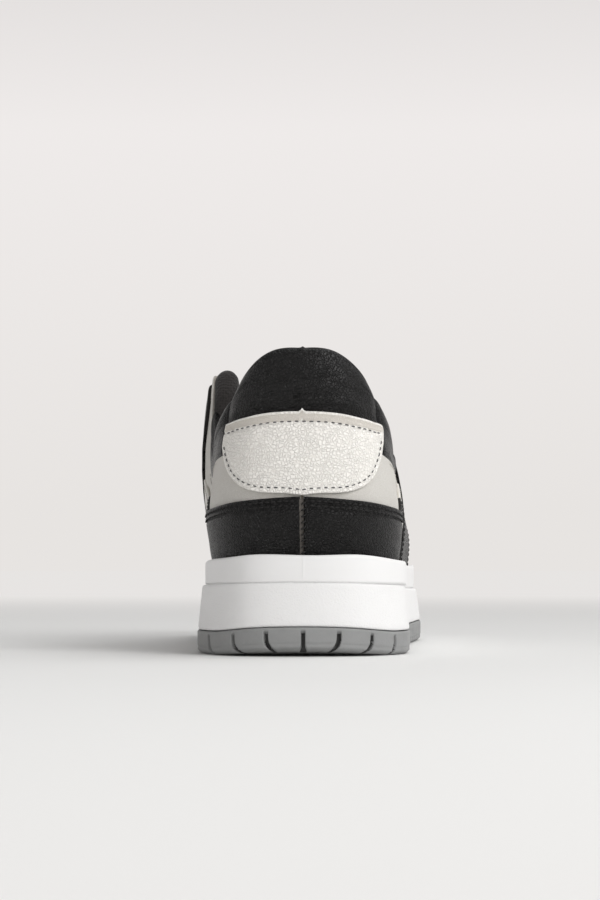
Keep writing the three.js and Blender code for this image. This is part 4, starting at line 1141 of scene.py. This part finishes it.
def eyelets(side, sg):
    V, F = [], []
    for t, w in HOLES:
        tc, wc_ = np.array([t * sg]), np.array([w])
        extra = 0.75 * (1 - smooth((t - 4.85) / 0.6))
        c = off(tc, wc_, np.array([OUT1 + extra]))[0]
        n, v = frame_at(tc, wc_)
        n, v = n[0], v[0]
        v = v - (v @ n) * n; v /= np.linalg.norm(v); b = np.cross(n, v)
        base, ns, nr2 = len(V), 24, 9
        for r in range(nr2):
            g = -0.6 + r / (nr2 - 1) * (math.pi + 1.2)
            rad, h = 2.35 + 0.55 * math.cos(g), 0.42 * math.sin(g)
            for a in range(ns):
                q = a / ns * 2 * math.pi
                V.append(c + n * h + (v * math.sin(q) + b * math.cos(q)) * rad)
        for a in range(ns):
            q = a / ns * 2 * math.pi
            V.append(c - n * 0.75 + (v * math.sin(q) + b * math.cos(q)) * 1.75)
        V.append(c - n * 0.75)
        for r in range(nr2):
            for a in range(ns):
                F.append([base + r * ns + a, base + r * ns + (a + 1) % ns, base + (r + 1) * ns + (a + 1) % ns, base + (r + 1) * ns + a])
        for a in range(0, ns, 2):
            F.append([base + nr2 * ns + a, base + nr2 * ns + (a + 1) % ns, base + nr2 * ns + (a + 2) % ns, base + (nr2 + 1) * ns])
    obj_from(f"eyelet_rings_{side}", np.array(V), np.array(F), [METAL], None, "shoe", "black_leather")


perforations()
eyelets("lateral", 1)
eyelets("medial", -1)

# ------------------------------------------------------------------ tongue
TONGUE_LINE = np.array([[-6.5, 209, 63.5], [-7, 188, 69.5], [-7.5, 167, 78.5], [-8.3, 145.5, 91], [-8.5, 124.5, 104], [-8.5, 114, 116]], float)
TONGUE_HALF = np.array([12, 16, 18.5, 19.5, 18, 14], float)
TONGUE_ARCH = np.array([1.5, 4.5, 6.5, 8, 7.5, 5], float)


def open_spline(v, s):
    ext = np.concatenate([[2 * v[0] - v[1]], v, [2 * v[-1] - v[-2]]])
    i = np.clip(np.floor(s).astype(int), 0, len(v) - 2)
    k = crw(s - i)
    out = 0
    for m in range(4):
        out = out + (k[..., m, None] * ext[i + m] if v.ndim == 2 else k[..., m] * ext[i + m])
    return out


def tongue_axes(b):
    c = open_spline(TONGUE_LINE, b)
    e = open_spline(TONGUE_LINE, np.minimum(5, b + 0.05)) - open_spline(TONGUE_LINE, np.maximum(0, b - 0.05))
    l = np.hypot(e[..., 1], e[..., 2])
    n = np.stack([0 * l, e[..., 2] / l, -e[..., 1] / l], -1)
    # the CAD's outward side is the upper, front side
    return c, n


def tongue_pt(a, b, d):
    c, n = tongue_axes(b)
    half, arch = open_spline(TONGUE_HALF, b), open_spline(TONGUE_ARCH, b)
    top = np.clip((b - 4.35) / 0.65, 0, 1)
    half = half * np.sqrt(np.clip(1 - 0.62 * top ** 3.2, 0.05, 1))
    p = c + n * (d - arch * a * a)[..., None]
    p[..., 0] += a * half
    return p


def tongue_skin(name, front, mat, slot, nodes):
    bs = np.concatenate([np.linspace(0 if front else 0.5, 4.7, int(110 / FINE)), np.linspace(4.7, 5, 12)[1:]])
    as_ = np.sign(np.linspace(-1, 1, 61)) * np.abs(np.linspace(-1, 1, 61)) ** 0.8
    B, A = np.meshgrid(bs, as_, indexing="ij")
    edge = np.clip(1 - np.abs(A) ** 5, 0, 1) ** 0.5 * np.clip(1 - np.clip((B - 4.55) / 0.45, 0, 1) ** 4, 0, 1) ** 0.5
    pad_ = smooth((B - 0.3) / 0.8)
    quilt = 0.0
    if front:
        # padded field inside a sewn border
        border = np.minimum((1 - np.abs(A)) * open_spline(TONGUE_HALF, B), (5 - B) * 24)
        quilt = 0.55 * smooth((border - 4.0) / 3.0) - 0.35 * np.exp(-((border - 3.2) / 0.6) ** 2)
        d = -3.1 + 3.1 * edge + quilt * pad_
        d = d * pad_ + (1 - pad_) * (-0.15)
        th = 0.95
        G = tongue_pt(A, B, d)
        G2 = tongue_pt(A * 0.985, B, d - th)
    else:
        d = -3.4 - 3.1 * edge - 0.25 * np.sin(A * 5 + B * 2) * edge
        G = tongue_pt(A, np.minimum(B, 4.995), d)
        G2 = tongue_pt(A * 0.985, B, d + 0.8)
    if not front:
        G, G2 = G[:, ::-1], G2[:, ::-1]
    nu, nv = B.shape
    fo, fw, fi = slab_faces(nu, nv)
    V = np.concatenate([G.reshape(-1, 3), G2.reshape(-1, 3)])
    F = np.concatenate([fo, fw, fi])
    # outward side: make the first face point along the outer normal
    q = G[nu // 2, nv // 2]
    c, n = tongue_axes(np.array([bs[nu // 2]]))
    f0 = fo[(nu // 2) * (nv - 1) + nv // 2]
    fn_ = np.cross(V[f0[1]] - V[f0[0]], V[f0[3]] - V[f0[0]])
    if (fn_ * n[0]).sum() * (1 if front else -1) < 0:
        F = F[:, ::-1]
    o = obj_from(name, V, F, [mat], None, "tongue", slot, nodes)
    return o


tongue_skin("tongue_front_pad", True, GREY, "grey_leather", ["tongue_shell", "tongue_foam"])
tongue_skin("tongue_back_lining", False, LINING, "textile_lining", ["tongue_lining"])


def tongue_rows():
    tq = np.linspace(0.7, 4.55, 400)
    for nm, sg in (("left", -1), ("right", 1)):
        def surf(a, b, d, s=sg):
            return tongue_pt(a, b, np.full(np.shape(b), d))
        half = open_spline(TONGUE_HALF, tq)
        stitches(f"tongue_stitch_{nm}", sg * (1 - 3.2 / half), tq, -0.75, THREAD_L, "grey_leather", pitch=2.8, length=1.8, radius=0.22, body="tongue", surface=surf)
    aa = np.linspace(-0.72, 0.72, 200)
    stitches("tongue_stitch_top", aa, np.full(200, 4.74), -0.45, THREAD_L, "grey_leather", pitch=2.8, length=1.8, radius=0.22, body="tongue",
             surface=lambda a, b, d: tongue_pt(a, b, np.full(np.shape(b), d)))


tongue_rows()


def tongue_label():
    """a blank sewn label"""
    a = np.linspace(-0.5, 0.5, 41); b = np.linspace(4.2, 4.66, 27)
    B, A = np.meshgrid(b, a, indexing="ij")
    P = tongue_pt(A, B, np.full(A.shape, 0.0))
    e = edge_distance(P)
    d = 1.15 - 0.5 * (1 - np.sqrt(1 - (1 - np.clip(e / 0.6, 0, 1)) ** 2)) - 0.2 * np.exp(-((e - 1.5) / 0.5) ** 2)
    G, G2 = tongue_pt(A, B, d), tongue_pt(A, B, np.full(A.shape, 0.25))
    fo, fw, fi = slab_faces(*B.shape)
    V = np.concatenate([G.reshape(-1, 3), G2.reshape(-1, 3)]); F = np.concatenate([fo, fw, fi])
    c, n = tongue_axes(np.array([4.45]))
    f0 = fo[len(fo) // 2]
    if (np.cross(V[f0[1]] - V[f0[0]], V[f0[3]] - V[f0[0]]) * n[0]).sum() < 0:
        F = F[:, ::-1]
    obj_from("tongue_label_patch", V, F, [BLACK], None, "tongue", "black_leather", ["tongue_label"])
    surf = lambda a_, b_, d_: tongue_pt(a_, b_, np.full(np.shape(b_), d_))
    k = 0.055
    loop_a = np.concatenate([np.linspace(-0.5 + k * 1.6, 0.5 - k * 1.6, 80), np.full(40, 0.5 - k * 1.6), np.linspace(0.5 - k * 1.6, -0.5 + k * 1.6, 80), np.full(40, -0.5 + k * 1.6)])
    loop_b = np.concatenate([np.full(80, 4.2 + k * 1.1), np.linspace(4.2 + k * 1.1, 4.66 - k * 1.1, 40), np.full(80, 4.66 - k * 1.1), np.linspace(4.66 - k * 1.1, 4.2 + k * 1.1, 40)])
    stitches("tongue_label_stitch", loop_a, loop_b, 1.0, THREAD_K, "black_leather", pitch=2.2, length=1.5, radius=0.2, body="tongue", surface=surf, trim=(0.3, 0.3))


tongue_label()

# ------------------------------------------------------------------ laces: flat woven, down into an eyelet at both ends
LACE = moulded("black_woven_lace", srgb(44, 42, 41), srgb(28, 27, 26), 0.85, 3000, 0.00012, 0.3)
LACE.node_tree.nodes["Principled BSDF"].inputs["Sheen Weight"].default_value = 0.3


def catmull(P, n):
    P = np.asarray(P, float)
    E = np.concatenate([[2 * P[0] - P[1]], P, [2 * P[-1] - P[-2]]])
    s = np.linspace(0, len(P) - 1, n)
    i = np.clip(np.floor(s).astype(int), 0, len(P) - 2)
    w = crw(s - i)
    out = sum(w[:, m, None] * E[i + m] for m in range(4))
    for _ in range(3):                         # even spacing
        q = np.concatenate([[0], np.cumsum(np.linalg.norm(np.diff(out, axis=0), axis=1))])
        out = np.stack([np.interp(np.linspace(0, q[-1], n), q, out[:, c]) for c in range(3)], 1)
    return out


def lace_run(k, t):
    t = float(t)
    one = lambda tt, w, d: off(np.array([tt]), np.array([w]), np.array([d]))[0]
    A = [one(t, 3.61, 0.3), one(t, 3.63, 2.1), one(t, 3.72, 2.9), one(t, 3.84, 2.85), one(t, 3.98, 2.5)]
    Bq = [one(20 - t, w, d) for w, d in ((3.98, 2.5), (3.84, 2.85), (3.72, 2.9), (3.63, 2.1), (3.61, 0.3))]
    if k == 1:                                 # the top run comes up from inside
        A = [one(t, w, d) for w, d in ((3.52, -3.9), (3.66, -4.9), (3.8, -5.0))]
        Bq = [one(20 - t, w, d) for w, d in ((3.8, -5.0), (3.66, -4.9), (3.52, -3.9))]
    a2, b2 = A[-1], Bq[0]
    mid = (a2 + b2) / 2
    bb = np.linspace(0.2, 4.95, 300)
    c, n = tongue_axes(bb)
    j = int(np.argmin(np.linalg.norm(c + n * 3 - mid, axis=1)))
    C, Nn, bq = c[j], n[j], bb[j]
    half, arch = open_spline(TONGUE_HALF, np.array([bq]))[0], open_spline(TONGUE_ARCH, np.array([bq]))[0]
    span = []
    sag = {1: 1.0, 2: 2.0}.get(k, 0.8)
    for u in np.linspace(0.08, 0.92, 13):
        P = a2 * (1 - u) + b2 * u
        aa = (P[0] - C[0]) / half
        h_line0 = ((P - C) * Nn).sum()
        h_line = h_line0 - sag * float(smooth((min(u, 1 - u) - 0.0) / 0.14))
        h_t = (-arch * aa * aa + 1.9) if abs(aa) < 1.12 else h_line - 6
        h = 0.5 * (h_line + h_t + math.sqrt((h_line - h_t) ** 2 + 1.2))
        span.append(P + Nn * (h - h_line0))
    path = catmull(A + span + Bq, 380)
    tan = np.gradient(path, axis=0)
    tan /= np.linalg.norm(tan, axis=1, keepdims=True)
    na, _ = frame_at(np.array([t]), np.array([3.7])); nb, _ = frame_at(np.array([20 - t]), np.array([3.7]))
    s = np.concatenate([[0], np.cumsum(np.linalg.norm(np.diff(path, axis=0), axis=1))])
    x = (s / s[-1])[:, None]
    along = np.cross(Nn, (Bq[-1] - A[0]) / np.linalg.norm(Bq[-1] - A[0]))
    side = along - (along * tan).sum(1, keepdims=True) * tan
    side /= np.linalg.norm(side, axis=1, keepdims=True)
    up = np.cross(tan, side)
    ends = np.minimum(s, s[-1] - s)
    width = 3.1 + (6.3 - 3.1) * smooth(ends / 8.0)
    thick = 1.9 - 0.65 * smooth(ends / 8.0)
    m = 36
    g = np.arange(m) / m * 2 * math.pi
    cx, sx = np.sign(np.cos(g)) * np.abs(np.cos(g)) ** 0.75, np.sign(np.sin(g)) * np.abs(np.sin(g)) ** 0.6
    wd, ht = width[:, None] / 2 * cx[None], thick[:, None] / 2 * sx[None]
    v = wd / 1.0
    br = np.abs(np.sin(math.pi * (s[:, None] / 1.5 + np.abs(v) / 1.3))) ** 0.7          # chevron braid
    ht = ht * (0.70 + 0.46 * br) * (1 - 0.22 * np.exp(-(v / 0.35) ** 2))
    wd = wd * (0.98 + 0.03 * br)
    V = (path[:, None] + side[:, None] * wd[..., None] + up[:, None] * ht[..., None]).reshape(-1, 3)
    nn = len(path)
    F = ring_faces(nn, m, True)
    c0 = [[0, 1 + i, 2 + i, 2 + i] for i in range(m - 2)]
    tri0 = np.array([[0, i + 1, i + 2] for i in range(m - 2)])
    V = np.concatenate([V, [path[0] - tan[0] * 0.3], [path[-1] + tan[-1] * 0.3]])
    i0, i1 = nn * m, nn * m + 1
    me_f = [list(f) for f in F] + [[(i + 1) % m, i, i0] for i in range(m)] + [[(nn - 1) * m + i, (nn - 1) * m + (i + 1) % m, i1] for i in range(m)]
    me = bpy.data.meshes.new(f"lace_{k}")
    me.from_pydata([tuple(p) for p in (V + SHIFT) * MM], [], me_f)
    me.materials.append(LACE)
    for p in me.polygons:
        p.use_smooth = True
    import bmesh
    bm = bmesh.new(); bm.from_mesh(me); bmesh.ops.recalc_face_normals(bm, faces=bm.faces); bm.to_mesh(me); bm.free()
    o = bpy.data.objects.new(f"lace_bar_{k}", me)
    bpy.context.scene.collection.objects.link(o)
    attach(o, "shoe"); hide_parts(f"lace_run_{k}")


for k, t in enumerate(LACE_T):
    lace_run(k + 1, t)
